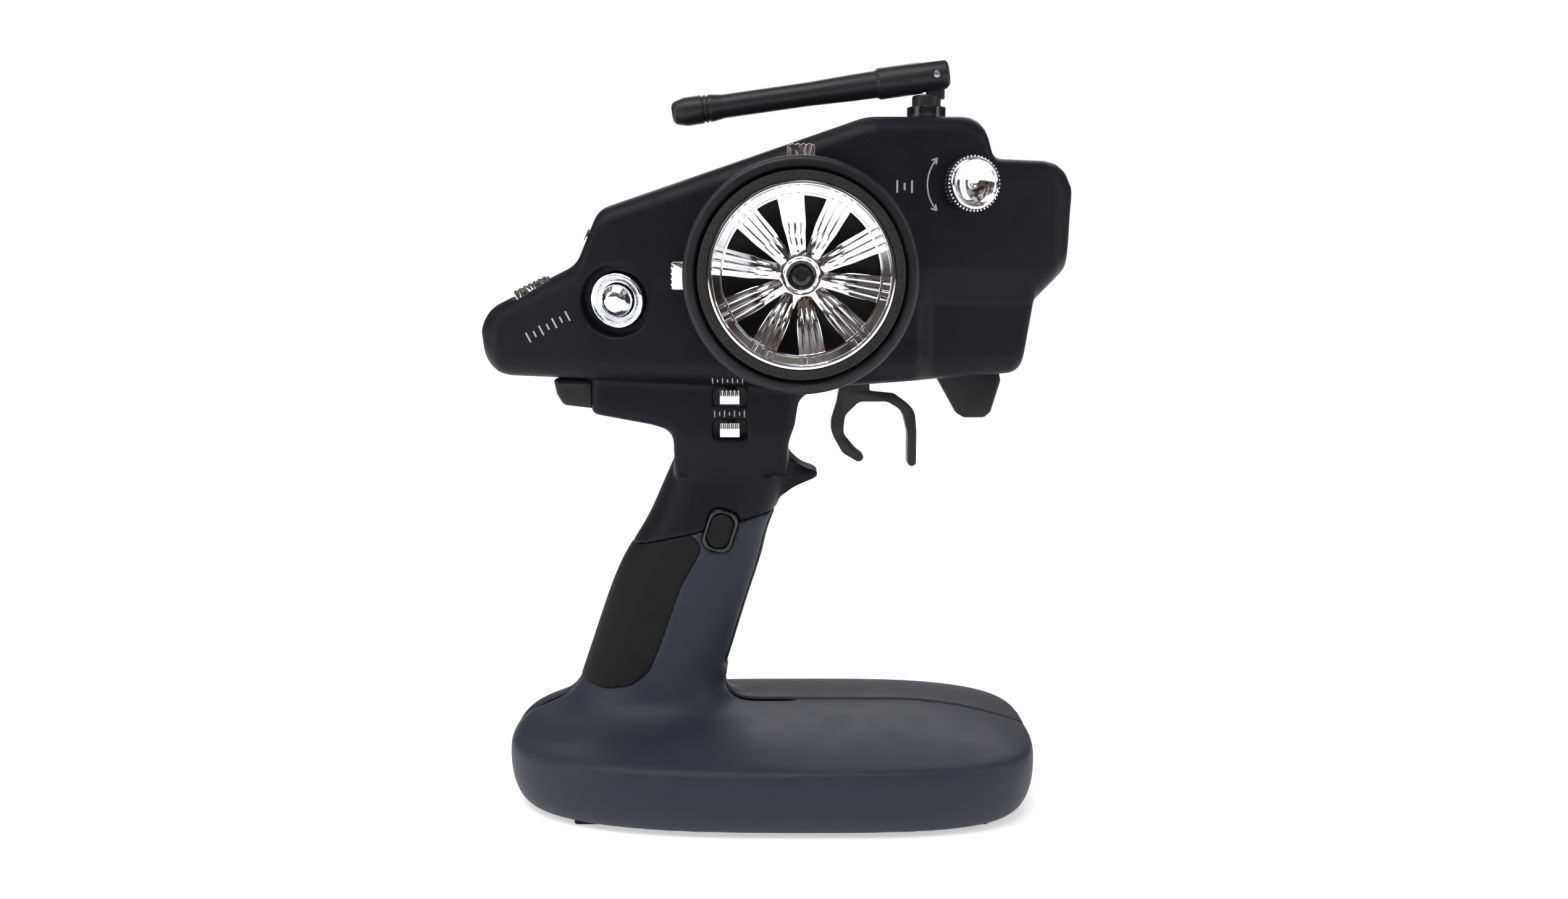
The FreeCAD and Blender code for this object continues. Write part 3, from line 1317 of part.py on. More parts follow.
os.makedirs("parts", exist_ok=True)
for name, item in parts.items():
    item.Shape.exportStep("parts/" + name + ".step")
print(len(parts), "sub-parts written")
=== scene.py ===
import bpy
import json
import math
import numpy as np
from mathutils import Matrix, Vector

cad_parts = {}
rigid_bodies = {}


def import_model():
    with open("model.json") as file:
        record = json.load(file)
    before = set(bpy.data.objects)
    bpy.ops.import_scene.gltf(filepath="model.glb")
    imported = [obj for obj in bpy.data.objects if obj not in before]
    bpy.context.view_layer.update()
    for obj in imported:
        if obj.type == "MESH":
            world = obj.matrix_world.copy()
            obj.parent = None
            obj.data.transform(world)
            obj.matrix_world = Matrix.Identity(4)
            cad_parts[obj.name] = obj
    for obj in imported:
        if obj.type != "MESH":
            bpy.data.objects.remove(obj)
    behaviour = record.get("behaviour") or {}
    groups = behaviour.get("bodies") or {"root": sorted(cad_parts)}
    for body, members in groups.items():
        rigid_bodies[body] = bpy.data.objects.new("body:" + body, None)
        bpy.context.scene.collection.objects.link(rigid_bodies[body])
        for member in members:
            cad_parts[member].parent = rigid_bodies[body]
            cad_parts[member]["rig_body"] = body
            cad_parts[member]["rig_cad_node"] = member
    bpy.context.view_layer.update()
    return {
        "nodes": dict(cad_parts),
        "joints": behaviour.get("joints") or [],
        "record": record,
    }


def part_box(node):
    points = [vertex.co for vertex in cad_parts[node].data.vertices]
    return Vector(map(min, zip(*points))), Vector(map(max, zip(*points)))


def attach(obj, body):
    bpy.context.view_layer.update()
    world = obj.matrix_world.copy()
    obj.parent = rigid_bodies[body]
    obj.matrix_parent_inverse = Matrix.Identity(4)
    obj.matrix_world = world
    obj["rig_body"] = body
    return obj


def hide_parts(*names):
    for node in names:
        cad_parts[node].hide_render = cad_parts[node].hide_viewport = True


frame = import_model()
record = frame["record"]
nodes = frame["nodes"]
mm = 0.001
scene = bpy.context.scene
print("frame loaded:", len(nodes), "nodes")


# camera, lights, floor

studio = {
    "cameraAt": (2.3 * mm, -450 * mm, 165 * mm), "cameraTilt": 83.05, "lens": 32.86,
    "floorSize": 8.0, "floorColour": (0.93, 0.93, 0.94, 1), "floorGlow": (0.25, 1.1, 0.5, 1.0), "roomBright": 0.68,
    "worldBright": 1.0,
    # what the gloss sees: place from straight down to straight up, tone, warmth
    "roomBands": ((0.44, 0.35, 0.0), (0.49, 0.07, 0.15), (0.56, 0.2, 0.1), (0.64, 0.55, 0.0), (0.74, 0.95, -0.02)),
    "patchScale": 6.5, "patchDark": (0.10, 0.06, 0.05, 1), "patchMiddle": (0.35, 0.27, 0.24, 1),
}


def makeCamera():
    data = bpy.data.cameras.new("camera")
    camera = bpy.data.objects.new("camera", data)
    scene.collection.objects.link(camera)
    camera.location = studio["cameraAt"]
    camera.rotation_euler = (math.radians(studio["cameraTilt"]), 0, 0)
    data.lens = studio["lens"]
    data.sensor_width = 36
    data.clip_start = 0.01
    scene.camera = camera


def makeLight(name, where, aim, wide, high, watts, colour=(1, 1, 1)):
    data = bpy.data.lights.new(name, "AREA")
    data.shape = "RECTANGLE"
    data.size = wide
    data.size_y = high
    data.energy = watts
    data.color = colour
    light = bpy.data.objects.new(name, data)
    scene.collection.objects.link(light)
    light.location = where
    light.rotation_euler = (Vector(aim) - Vector(where)).to_track_quat("-Z", "Y").to_euler()


def makeWorld():
    world = bpy.data.worlds.new("studioRoom")
    scene.world = world
    world.use_nodes = True
    tree = world.node_tree
    tree.nodes.clear()
    out = tree.nodes.new("ShaderNodeOutputWorld")
    mix = tree.nodes.new("ShaderNodeMixShader")
    path = tree.nodes.new("ShaderNodeLightPath")
    plain = tree.nodes.new("ShaderNodeBackground")
    plain.inputs["Color"].default_value = (1, 1, 1, 1)
    plain.inputs["Strength"].default_value = studio["worldBright"]
    room = tree.nodes.new("ShaderNodeBackground")
    room.inputs["Strength"].default_value = studio["roomBright"]
    coords = tree.nodes.new("ShaderNodeTexCoord")
    split = tree.nodes.new("ShaderNodeSeparateXYZ")
    ramp = tree.nodes.new("ShaderNodeValToRGB")
    ramp.color_ramp.elements[0].position = 0.0
    ramp.color_ramp.elements[0].color = (0.75, 0.75, 0.77, 1)
    ramp.color_ramp.elements[1].position = 1.0
    ramp.color_ramp.elements[1].color = (1, 1, 1, 1)
    for place, tone, warmth in studio["roomBands"]:
        stop = ramp.color_ramp.elements.new(place)
        stop.color = (tone * (1 + warmth), tone, tone * (1 - warmth), 1)
    shift = tree.nodes.new("ShaderNodeMath")
    shift.operation = "MULTIPLY_ADD"
    shift.inputs[1].default_value = 0.5
    shift.inputs[2].default_value = 0.5
    tree.links.new(coords.outputs["Generated"], split.inputs[0])
    tree.links.new(split.outputs["Z"], shift.inputs[0])
    tree.links.new(shift.outputs[0], ramp.inputs["Fac"])
    patches = tree.nodes.new("ShaderNodeTexNoise")
    patches.inputs["Scale"].default_value = studio["patchScale"]
    patches.inputs["Detail"].default_value = 2.0
    tree.links.new(coords.outputs["Generated"], patches.inputs["Vector"])
    shade = tree.nodes.new("ShaderNodeValToRGB")
    shade.color_ramp.elements[0].position = 0.45
    shade.color_ramp.elements[0].color = studio["patchDark"]
    shade.color_ramp.elements[1].position = 0.56
    shade.color_ramp.elements[1].color = (1, 1, 1, 1)
    middle = shade.color_ramp.elements.new(0.5)
    middle.color = studio["patchMiddle"]
    blend = tree.nodes.new("ShaderNodeMix")
    blend.data_type = "RGBA"
    blend.blend_type = "MULTIPLY"
    blend.inputs[0].default_value = 1.0
    tree.links.new(patches.outputs["Fac"], shade.inputs["Fac"])
    tree.links.new(ramp.outputs["Color"], blend.inputs[6])
    tree.links.new(shade.outputs["Color"], blend.inputs[7])
    tree.links.new(blend.outputs[2], room.inputs["Color"])
    tree.links.new(path.outputs["Is Camera Ray"], mix.inputs["Fac"])
    tree.links.new(room.outputs[0], mix.inputs[1])
    tree.links.new(plain.outputs[0], mix.inputs[2])
    tree.links.new(mix.outputs[0], out.inputs["Surface"])


def makeFloor():
    bpy.ops.mesh.primitive_plane_add(size=studio["floorSize"], location=(0, 0, 0))
    floor = bpy.context.active_object
    floor.name = "studioFloor"
    paint = bpy.data.materials.new("studioWhite")
    paint.use_nodes = True
    shader = paint.node_tree.nodes["Principled BSDF"]
    shader.inputs["Base Color"].default_value = studio["floorColour"]
    shader.inputs["Roughness"].default_value = 0.9
    shader.inputs["Specular IOR Level"].default_value = 0.1
    shader.inputs["Emission Color"].default_value = (1, 1, 1, 1)
    # the floor brightens away from the object, so that it ends in white
    tree = paint.node_tree
    coords = tree.nodes.new("ShaderNodeTexCoord")
    reach = tree.nodes.new("ShaderNodeVectorMath")
    reach.operation = "LENGTH"
    glow = tree.nodes.new("ShaderNodeMapRange")
    for label, value in zip(("From Min", "From Max", "To Min", "To Max"), studio["floorGlow"]):
        glow.inputs[label].default_value = value
    tree.links.new(coords.outputs["Object"], reach.inputs[0])
    tree.links.new(reach.outputs["Value"], glow.inputs["Value"])
    tree.links.new(glow.outputs["Result"], shader.inputs["Emission Strength"])
    # seen from underneath, the floor lets the object's underside through
    back = tree.nodes.new("ShaderNodeNewGeometry")
    clear = tree.nodes.new("ShaderNodeBsdfTransparent")
    choose = tree.nodes.new("ShaderNodeMixShader")
    tree.links.new(back.outputs["Backfacing"], choose.inputs["Fac"])
    tree.links.new(shader.outputs[0], choose.inputs[1])
    tree.links.new(clear.outputs[0], choose.inputs[2])
    tree.links.new(choose.outputs[0], tree.nodes["Material Output"].inputs["Surface"])
    floor.data.materials.append(paint)


makeCamera()
makeWorld()
makeFloor()
makeLight("keyAbove", (-0.25, -0.5, 1.1), (0, 0, 0.12), 1.0, 0.6, 9)
makeLight("sideLeft", (-1.0, -0.5, 0.45), (0, 0, 0.14), 0.5, 0.9, 3.5)
makeLight("sideRight", (1.05, -0.45, 0.5), (0, 0, 0.14), 0.4, 0.9, 3)
makeLight("backRim", (0.1, 1.1, 0.9), (0, 0, 0.12), 1.2, 0.6, 7)
scene.view_settings.view_transform = "Standard"
print("studio ready")


# shader node groups shared by the materials

def newGroup(name, inputs, outputs):
    group = bpy.data.node_groups.new(name, "ShaderNodeTree")
    for label, kind, start in inputs:
        socket = group.interface.new_socket(label, in_out="INPUT", socket_type=kind)
        if start is not None:
            socket.default_value = start
    for label, kind in outputs:
        group.interface.new_socket(label, in_out="OUTPUT", socket_type=kind)
    return group, group.nodes.new("NodeGroupInput"), group.nodes.new("NodeGroupOutput")


def texture(tree, kind, vector, scale=None, **settings):
    node = tree.nodes.new(kind)
    tree.links.new(vector, node.inputs["Vector"])
    if scale is not None:
        tree.links.new(scale, node.inputs["Scale"])
    for label, value in settings.items():
        node.inputs[label].default_value = value
    return node


def rangeNode(tree, source, low, high, outLow, outHigh):
    node = tree.nodes.new("ShaderNodeMapRange")
    node.inputs["From Min"].default_value = low
    node.inputs["From Max"].default_value = high
    node.inputs["To Min"].default_value = outLow
    node.inputs["To Max"].default_value = outHigh
    tree.links.new(source, node.inputs["Value"])
    return node.outputs["Result"]


def mathNode(tree, operation, first, second):
    node = tree.nodes.new("ShaderNodeMath")
    node.operation = operation
    for socket, value in zip(node.inputs, (first, second)):
        if isinstance(value, (int, float)):
            socket.default_value = value
        else:
            tree.links.new(value, socket)
    return node.outputs[0]


def makeGrainGroup():
    # fine moulded or painted grain: two sizes of noise over small pits
    group, start, end = newGroup(
        "fineGrain", [("Vector", "NodeSocketVector", None), ("Scale", "NodeSocketFloat", 3000.0)],
        [("Height", "NodeSocketFloat"), ("Cloud", "NodeSocketFloat")])
    vector, scale = start.outputs["Vector"], start.outputs["Scale"]
    fine = texture(group, "ShaderNodeTexNoise", vector, scale, Detail=3.0, Roughness=0.6)
    pits = texture(group, "ShaderNodeTexVoronoi", vector, scale)
    slow = texture(group, "ShaderNodeTexNoise", vector, mathNode(group, "MULTIPLY", scale, 0.02), Detail=4.0)
    height = mathNode(group, "ADD", mathNode(group, "MULTIPLY", fine.outputs["Fac"], 0.7),
                      mathNode(group, "MULTIPLY", pits.outputs["Distance"], 0.5))
    group.links.new(height, end.inputs["Height"])
    group.links.new(rangeNode(group, slow.outputs["Fac"], 0.3, 0.7, 0.0, 1.0), end.inputs["Cloud"])
    return group


def makeWearGroup():
    # the piece's own rubbed attribute, broken up by noise
    group, start, end = newGroup(
        "edgeWear", [("Vector", "NodeSocketVector", None), ("Amount", "NodeSocketFloat", 0.5)],
        [("Mask", "NodeSocketFloat")])
    rubbed = group.nodes.new("ShaderNodeAttribute")
    rubbed.attribute_name = "rubbed"
    noise = texture(group, "ShaderNodeTexNoise", start.outputs["Vector"], Scale=160.0, Detail=5.0)
    broken = mathNode(group, "MULTIPLY", rubbed.outputs["Fac"],
                      rangeNode(group, noise.outputs["Fac"], 0.38, 0.62, 0.2, 1.0))
    group.links.new(mathNode(group, "MULTIPLY", broken, start.outputs["Amount"]), end.inputs["Mask"])
    return group


def makeDustGroup():
    # scattered specks over a thin patchy haze
    group, start, end = newGroup(
        "settledDust", [("Vector", "NodeSocketVector", None), ("Amount", "NodeSocketFloat", 0.5)],
        [("Mask", "NodeSocketFloat")])
    specks = texture(group, "ShaderNodeTexVoronoi", start.outputs["Vector"], Scale=420.0, Randomness=1.0)
    tiny = rangeNode(group, specks.outputs["Distance"], 0.05, 0.09, 1.0, 0.0)
    thin = texture(group, "ShaderNodeTexNoise", start.outputs["Vector"], Scale=55.0, Detail=6.0)
    sparse = mathNode(group, "MULTIPLY", tiny, rangeNode(group, thin.outputs["Fac"], 0.55, 0.6, 0.0, 1.0))
    haze = rangeNode(group, thin.outputs["Fac"], 0.45, 0.8, 0.0, 0.06)
    group.links.new(mathNode(group, "MULTIPLY", mathNode(group, "ADD", sparse, haze),
                             start.outputs["Amount"]), end.inputs["Mask"])
    return group


groups = {"grain": makeGrainGroup(), "wear": makeWearGroup(), "dust": makeDustGroup()}


def placeGroup(tree, key, vector, **values):
    node = tree.nodes.new("ShaderNodeGroup")
    node.node_tree = groups[key]
    tree.links.new(vector, node.inputs["Vector"])
    for label, value in values.items():
        node.inputs[label].default_value = value
    return node


def mixColour(tree, mask, first, second):
    node = tree.nodes.new("ShaderNodeMix")
    node.data_type = "RGBA"
    for index, value in ((6, first), (7, second)):
        if isinstance(value, tuple):
            node.inputs[index].default_value = value + (1,)
        else:
            tree.links.new(value, node.inputs[index])
    tree.links.new(mask, node.inputs[0])
    return node.outputs[2]


# one entry per finish: colours are linear, grain is in cycles per metre, bump in millimetres
finishes = {
    "softTouchBlack": {"colour": (0.0030, 0.0030, 0.0062), "second": (0.0040, 0.0040, 0.0078),
                       "rough": (0.44, 0.54), "grain": 4200, "bump": 0.012, "wear": (0.035, 0.035, 0.04),
                       "wearAmount": 0.3, "dust": 0.05, "sheen": 0.0, "specular": 0.17},
    "softTouchGrey": {"colour": (0.023, 0.025, 0.038), "second": (0.027, 0.030, 0.043),
                      "rough": (0.46, 0.56), "grain": 4200, "bump": 0.012, "wear": (0.08, 0.09, 0.11),
                      "wearAmount": 0.25, "dust": 0.06, "sheen": 0.0, "specular": 0.2},
    "rubberBlack": {"colour": (0.0065, 0.0065, 0.0075), "second": (0.009, 0.009, 0.010),
                    "rough": (0.56, 0.68), "grain": 2600, "bump": 0.03, "wear": (0.03, 0.03, 0.03),
                    "wearAmount": 0.3, "dust": 0.06, "sheen": 0.0, "specular": 0.14},
    "plasticBlack": {"colour": (0.008, 0.008, 0.010), "second": (0.011, 0.011, 0.013), "rough": (0.36, 0.46),
                     "grain": 3200, "bump": 0.02, "wear": (0.07, 0.07, 0.075), "wearAmount": 0.4,
                     "dust": 0.08, "sheen": 0.0, "specular": 0.3},
    "glossBlack": {"colour": (0.008, 0.008, 0.009), "second": (0.012, 0.012, 0.013), "rough": (0.12, 0.2),
                   "grain": 1200, "bump": 0.004, "wear": (0.05, 0.05, 0.05), "wearAmount": 0.3,
                   "dust": 0.3, "sheen": 0.0, "specular": 0.5},
    "chromeTrim": {"colour": (0.86, 0.87, 0.89), "second": (0.78, 0.79, 0.82), "rough": (0.05, 0.12),
                   "grain": 900, "bump": 0.004, "wear": (0.6, 0.6, 0.62), "wearAmount": 0.25,
                   "dust": 0.12, "sheen": 0.0, "specular": 0.5, "metal": 1.0},
    "steelBright": {"colour": (0.56, 0.56, 0.57), "second": (0.48, 0.48, 0.49), "rough": (0.22, 0.34),
                    "grain": 1800, "bump": 0.006, "wear": (0.7, 0.7, 0.7), "wearAmount": 0.3,
                    "dust": 0.1, "sheen": 0.0, "specular": 0.5, "metal": 1.0},
    "shieldTin": {"colour": (0.55, 0.55, 0.53), "second": (0.47, 0.47, 0.45), "rough": (0.3, 0.45),
                  "grain": 1500, "bump": 0.01, "wear": (0.7, 0.7, 0.68), "wearAmount": 0.3,
                  "dust": 0.1, "sheen": 0.0, "specular": 0.5, "metal": 1.0},
    "brassContact": {"colour": (0.62, 0.45, 0.2), "second": (0.52, 0.36, 0.15), "rough": (0.25, 0.4),
                     "grain": 1800, "bump": 0.006, "wear": (0.8, 0.62, 0.34), "wearAmount": 0.4,
                     "dust": 0.05, "sheen": 0.0, "specular": 0.5, "metal": 1.0},
    "nylonWhite": {"colour": (0.68, 0.68, 0.64), "second": (0.62, 0.62, 0.58), "rough": (0.45, 0.55),
                   "grain": 1800, "bump": 0.02, "wear": (0.8, 0.8, 0.78), "wearAmount": 0.3,
                   "dust": 0.1, "sheen": 0.0, "specular": 0.5},
    "leadBlack": {"colour": (0.015, 0.015, 0.015), "second": (0.022, 0.022, 0.022), "rough": (0.35, 0.45),
                  "grain": 1500, "bump": 0.01, "wear": (0.05, 0.05, 0.05), "wearAmount": 0.2,
                  "dust": 0.1, "sheen": 0.0, "specular": 0.5},
    "cellJacket": {"colour": (0.30, 0.07, 0.03), "second": (0.26, 0.06, 0.025), "rough": (0.2, 0.3),
                   "grain": 700, "bump": 0.004, "wear": (0.5, 0.3, 0.2), "wearAmount": 0.3,
                   "dust": 0.05, "sheen": 0.0, "specular": 0.5},
    "boardGreen": {"colour": (0.02, 0.13, 0.055), "second": (0.015, 0.10, 0.04), "rough": (0.25, 0.35),
                   "grain": 900, "bump": 0.01, "wear": (0.1, 0.25, 0.12), "wearAmount": 0.3,
                   "dust": 0.05, "sheen": 0.0, "specular": 0.5},
    "markingGrey": {"colour": (0.42, 0.43, 0.45), "second": (0.36, 0.37, 0.39), "rough": (0.5, 0.6),
                    "grain": 5000, "bump": 0.006, "wear": (0.2, 0.2, 0.2), "wearAmount": 0.3,
                    "dust": 0.1, "sheen": 0.0, "specular": 0.4},
}
paints = {}


def paint(key):
    if key in paints:
        return paints[key]
    look = finishes[key]
    material = bpy.data.materials.new(key)
    material.use_nodes = True
    tree = material.node_tree
    shader = tree.nodes["Principled BSDF"]
    coords = tree.nodes.new("ShaderNodeTexCoord").outputs["Object"]
    grain = placeGroup(tree, "grain", coords, Scale=float(look["grain"]))
    wear = placeGroup(tree, "wear", coords, Amount=look["wearAmount"])
    dust = placeGroup(tree, "dust", coords, Amount=look["dust"])
    body = mixColour(tree, grain.outputs["Cloud"], look["colour"], look["second"])
    rubbed = mixColour(tree, wear.outputs["Mask"], body, look["wear"])
    dusty = mixColour(tree, dust.outputs["Mask"], rubbed, (0.3, 0.3, 0.3))
    tree.links.new(dusty, shader.inputs["Base Color"])
    low, high = look["rough"]
    tree.links.new(rangeNode(tree, grain.outputs["Cloud"], 0.0, 1.0, low, high), shader.inputs["Roughness"])
    bump = tree.nodes.new("ShaderNodeBump")
    bump.inputs["Strength"].default_value = 0.5
    bump.inputs["Distance"].default_value = look["bump"] * mm
    tree.links.new(grain.outputs["Height"], bump.inputs["Height"])
    tree.links.new(bump.outputs["Normal"], shader.inputs["Normal"])
    shader.inputs["Metallic"].default_value = look.get("metal", 0.0)
    shader.inputs["Sheen Weight"].default_value = look["sheen"]
    shader.inputs["Sheen Roughness"].default_value = 0.4
    shader.inputs["Specular IOR Level"].default_value = look["specular"]
    paints[key] = material
    return material


def glassPaint(key, tint, rough):
    material = bpy.data.materials.new(key)
    material.use_nodes = True
    tree = material.node_tree
    shader = tree.nodes["Principled BSDF"]
    coords = tree.nodes.new("ShaderNodeTexCoord").outputs["Object"]
    dust = placeGroup(tree, "dust", coords, Amount=0.4)
    tree.links.new(mixColour(tree, dust.outputs["Mask"], tint, (0.7, 0.7, 0.7)), shader.inputs["Base Color"])
    tree.links.new(rangeNode(tree, dust.outputs["Mask"], 0.0, 1.0, rough, 0.4), shader.inputs["Roughness"])
    shader.inputs["Transmission Weight"].default_value = 1.0
    shader.inputs["IOR"].default_value = 1.49
    paints[key] = material
    return material


# mesh helpers

def dropPicks():
    if bpy.context.object and bpy.context.object.mode != "OBJECT":
        bpy.ops.object.mode_set(mode="OBJECT")
    bpy.ops.object.select_all(action="DESELECT")


def pickOnly(piece):
    dropPicks()
    piece.select_set(True)
    bpy.context.view_layer.objects.active = piece


def applyModifier(piece, kind, **settings):
    pickOnly(piece)
    modifier = piece.modifiers.new(kind.lower(), kind)
    for label, value in settings.items():
        setattr(modifier, label, value)
    bpy.ops.object.modifier_apply(modifier=modifier.name)


def cleanMesh(piece, gap=0.004 * mm, outward=True):
    pickOnly(piece)
    bpy.ops.object.mode_set(mode="EDIT")
    bpy.ops.mesh.select_all(action="SELECT")
    bpy.ops.mesh.remove_doubles(threshold=gap)
    if outward:
        bpy.ops.mesh.normals_make_consistent(inside=False)
    bpy.ops.object.mode_set(mode="OBJECT")


def softShade(piece, angle=35):
    pickOnly(piece)
    bpy.ops.object.shade_smooth_by_angle(angle=math.radians(angle))


def markRubbed(piece, reach=1.2 * mm):
    # how far each point stands out from its neighbours, from 0 on flats to 1 on tight outer edges
    mesh = piece.data
    count = len(mesh.vertices)
    points = np.zeros(count * 3)
    mesh.vertices.foreach_get("co", points)
    points = points.reshape(-1, 3)
    normals = np.zeros(count * 3)
    mesh.vertices.foreach_get("normal", normals)
    normals = normals.reshape(-1, 3)
    edges = np.zeros(len(mesh.edges) * 2, int)
    mesh.edges.foreach_get("vertices", edges)
    edges = edges.reshape(-1, 2)
    total = np.zeros(count)
    seen = np.zeros(count)
    for a, b in ((0, 1), (1, 0)):
        span = points[edges[:, b]] - points[edges[:, a]]
        length = np.maximum(np.linalg.norm(span, axis=1), 1e-9)
        drop = -np.einsum("ij,ij->i", span, normals[edges[:, a]]) / length
        np.add.at(total, edges[:, a], drop)
        np.add.at(seen, edges[:, a], 1)
    bend = np.clip(total / np.maximum(seen, 1) * 3.0, 0, 1)
    layer = mesh.attributes.get("rubbed") or mesh.attributes.new("rubbed", "FLOAT", "POINT")
    layer.data.foreach_set("value", bend.astype(np.float32))


def settle(piece, body, slotName, material, *replaced):
    # last step for every piece: finish, body and the CAD node that it stands for
    piece.data.materials.clear()
    piece.data.materials.append(material)
    markRubbed(piece)
    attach(piece, body)
    if replaced:
        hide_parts(*replaced)
    return piece


def copyOf(node, name):
    # a merged copy of a CAD node's mesh as a new piece
    dropPicks()
    piece = nodes[node].copy()
    piece.data = nodes[node].data.copy()
    piece.parent = None
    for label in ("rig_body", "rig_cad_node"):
        if label in piece:
            del piece[label]
    piece.name = name
    piece.data.name = name
    scene.collection.objects.link(piece)
    cleanMesh(piece, outward=False)
    return piece


def bodyOf(node):
    return next(body for body, members in record["behaviour"]["bodies"].items() if node in members)


def slotOf(node):
    return next(row["material_slot"] for row in record["subparts"] if row["node"] == node)


def bevelled(node, name, material, width=0.2, angle=28, segments=2):
    # CAD copy with its flat faces made whole again and every hard edge softened
    piece = copyOf(node, name)
    pickOnly(piece)
    bpy.ops.object.mode_set(mode="EDIT")
    bpy.ops.mesh.select_all(action="SELECT")
    bpy.ops.mesh.dissolve_limited(angle_limit=math.radians(1.0))
    bpy.ops.object.mode_set(mode="OBJECT")
    applyModifier(piece, "BEVEL", width=width * mm, segments=segments, limit_method="ANGLE",
                  angle_limit=math.radians(angle), use_clamp_overlap=True, miter_outer="MITER_ARC")
    cleanMesh(piece, gap=0.001 * mm, outward=False)
    softShade(piece, 50)
    return settle(piece, bodyOf(node), slotOf(node), material, node)


def moulded(node, name, material, voxel=0.8, rounds=4, reshape=None):
    # CAD copy drawn again as an even skin and relaxed, so that its edges roll over softly
    piece = copyOf(node, name)
    applyModifier(piece, "REMESH", mode="VOXEL", voxel_size=voxel * mm, use_smooth_shade=True)
    applyModifier(piece, "SMOOTH", factor=0.5, iterations=rounds)
    if reshape:
        reshape(piece)
    return settle(piece, bodyOf(node), slotOf(node), material, node)


def calmBand(piece, low, high, rounds, xLow=-1000.0, xHigh=1000.0):
    # relaxes only the skin between two heights, fading out at both ends
    group = piece.vertex_groups.new(name="calm")
    middle, reach = (low + high) / 2, (high - low) / 2
    for point in piece.data.vertices:
        x, _, z = point.co / mm
        if low < z < high and xLow < x < xHigh:
            group.add([point.index], min(1.0, 2.0 * (1 - abs(z - middle) / reach)), "REPLACE")
    applyModifier(piece, "SMOOTH", factor=0.7, iterations=rounds, vertex_group="calm")
    piece.vertex_groups.clear()


def lathe(name, profile, steps=128, closed=True):
    # outline of (radius, height) in millimetres turned about Z
    dropPicks()
    bpy.ops.mesh.primitive_plane_add(size=mm, location=(0, 0, 0))
    piece = bpy.context.active_object
    piece.name = name
    bpy.ops.object.mode_set(mode="EDIT")
    bpy.ops.mesh.select_all(action="SELECT")
    bpy.ops.mesh.merge(type="CENTER")
    radius, height = profile[0]
    bpy.ops.transform.translate(value=(radius * mm, 0, height * mm))
    for (lastRadius, lastHeight), (radius, height) in zip(profile, profile[1:]):
        bpy.ops.mesh.extrude_vertices_move(
            TRANSFORM_OT_translate={"value": ((radius - lastRadius) * mm, 0, (height - lastHeight) * mm)})
    bpy.ops.mesh.select_all(action="SELECT")
    if closed:
        bpy.ops.mesh.edge_face_add()
        bpy.ops.mesh.delete(type="ONLY_FACE")
        bpy.ops.mesh.select_all(action="SELECT")
    bpy.ops.mesh.spin(steps=steps, angle=2 * math.pi, center=(0, 0, 0), axis=(0, 0, 1))
    bpy.ops.mesh.select_all(action="SELECT")
    bpy.ops.mesh.remove_doubles(threshold=0.002 * mm)
    bpy.ops.mesh.normals_make_consistent(inside=False)
    bpy.ops.object.mode_set(mode="OBJECT")
    return piece


def setPlace(piece, matrix):
    piece.matrix_world = matrix
    pickOnly(piece)
    bpy.ops.object.transform_apply(location=True, rotation=True, scale=True)


def joinAll(pieces, name):
    dropPicks()
    for piece in pieces:
        piece.select_set(True)
    bpy.context.view_layer.objects.active = pieces[0]
    bpy.ops.object.join()
    pieces[0].name = name
    pieces[0].data.name = name
    return pieces[0]


def around(piece, count, turnOf):
    # copies of a piece, each with its own mesh, turned about Z
    ring = [piece]
    for i in range(1, count):
        twin = piece.copy()
        twin.data = piece.data.copy()
        scene.collection.objects.link(twin)
        twin.matrix_world = Matrix.Rotation(turnOf(i), 4, "Z") @ piece.matrix_world
        ring.append(twin)
    return ring


# steering wheel

wheelCentre = Vector((frame["joints"][0]["pos_m"][0], 0, frame["joints"][0]["pos_m"][2]))
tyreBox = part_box("wheel_tyre")
wheelFrame = Matrix.Translation((wheelCentre.x, tyreBox[1].y, wheelCentre.z)) @ Matrix.Rotation(math.pi / 2, 4, "X")
wheel = {
    "face": 13.0, "spokes": 10, "firstSpoke": 98.0, "spokeInner": 4.7, "spokeOuter": 24.9,
    "halfAt": ((4.7, 2.75), (6.0, 2.3), (7.0, 2.2), (12.0, 2.75), (18.0, 3.4), (24.9, 4.05)),
    "ribsAt": (-0.86, -0.29, 0.29, 0.86), "ribHalf": 0.15, "ribDepth": 0.6, "thick": 1.5, "grooveFrom": 8.5,
    "grooveFull": 15.0,
}


def spokeHeight(radius):
    share = max(0.0, (radius - 6.0) / 19.0)
    return 9.4 + 2.9 * share ** 1.4


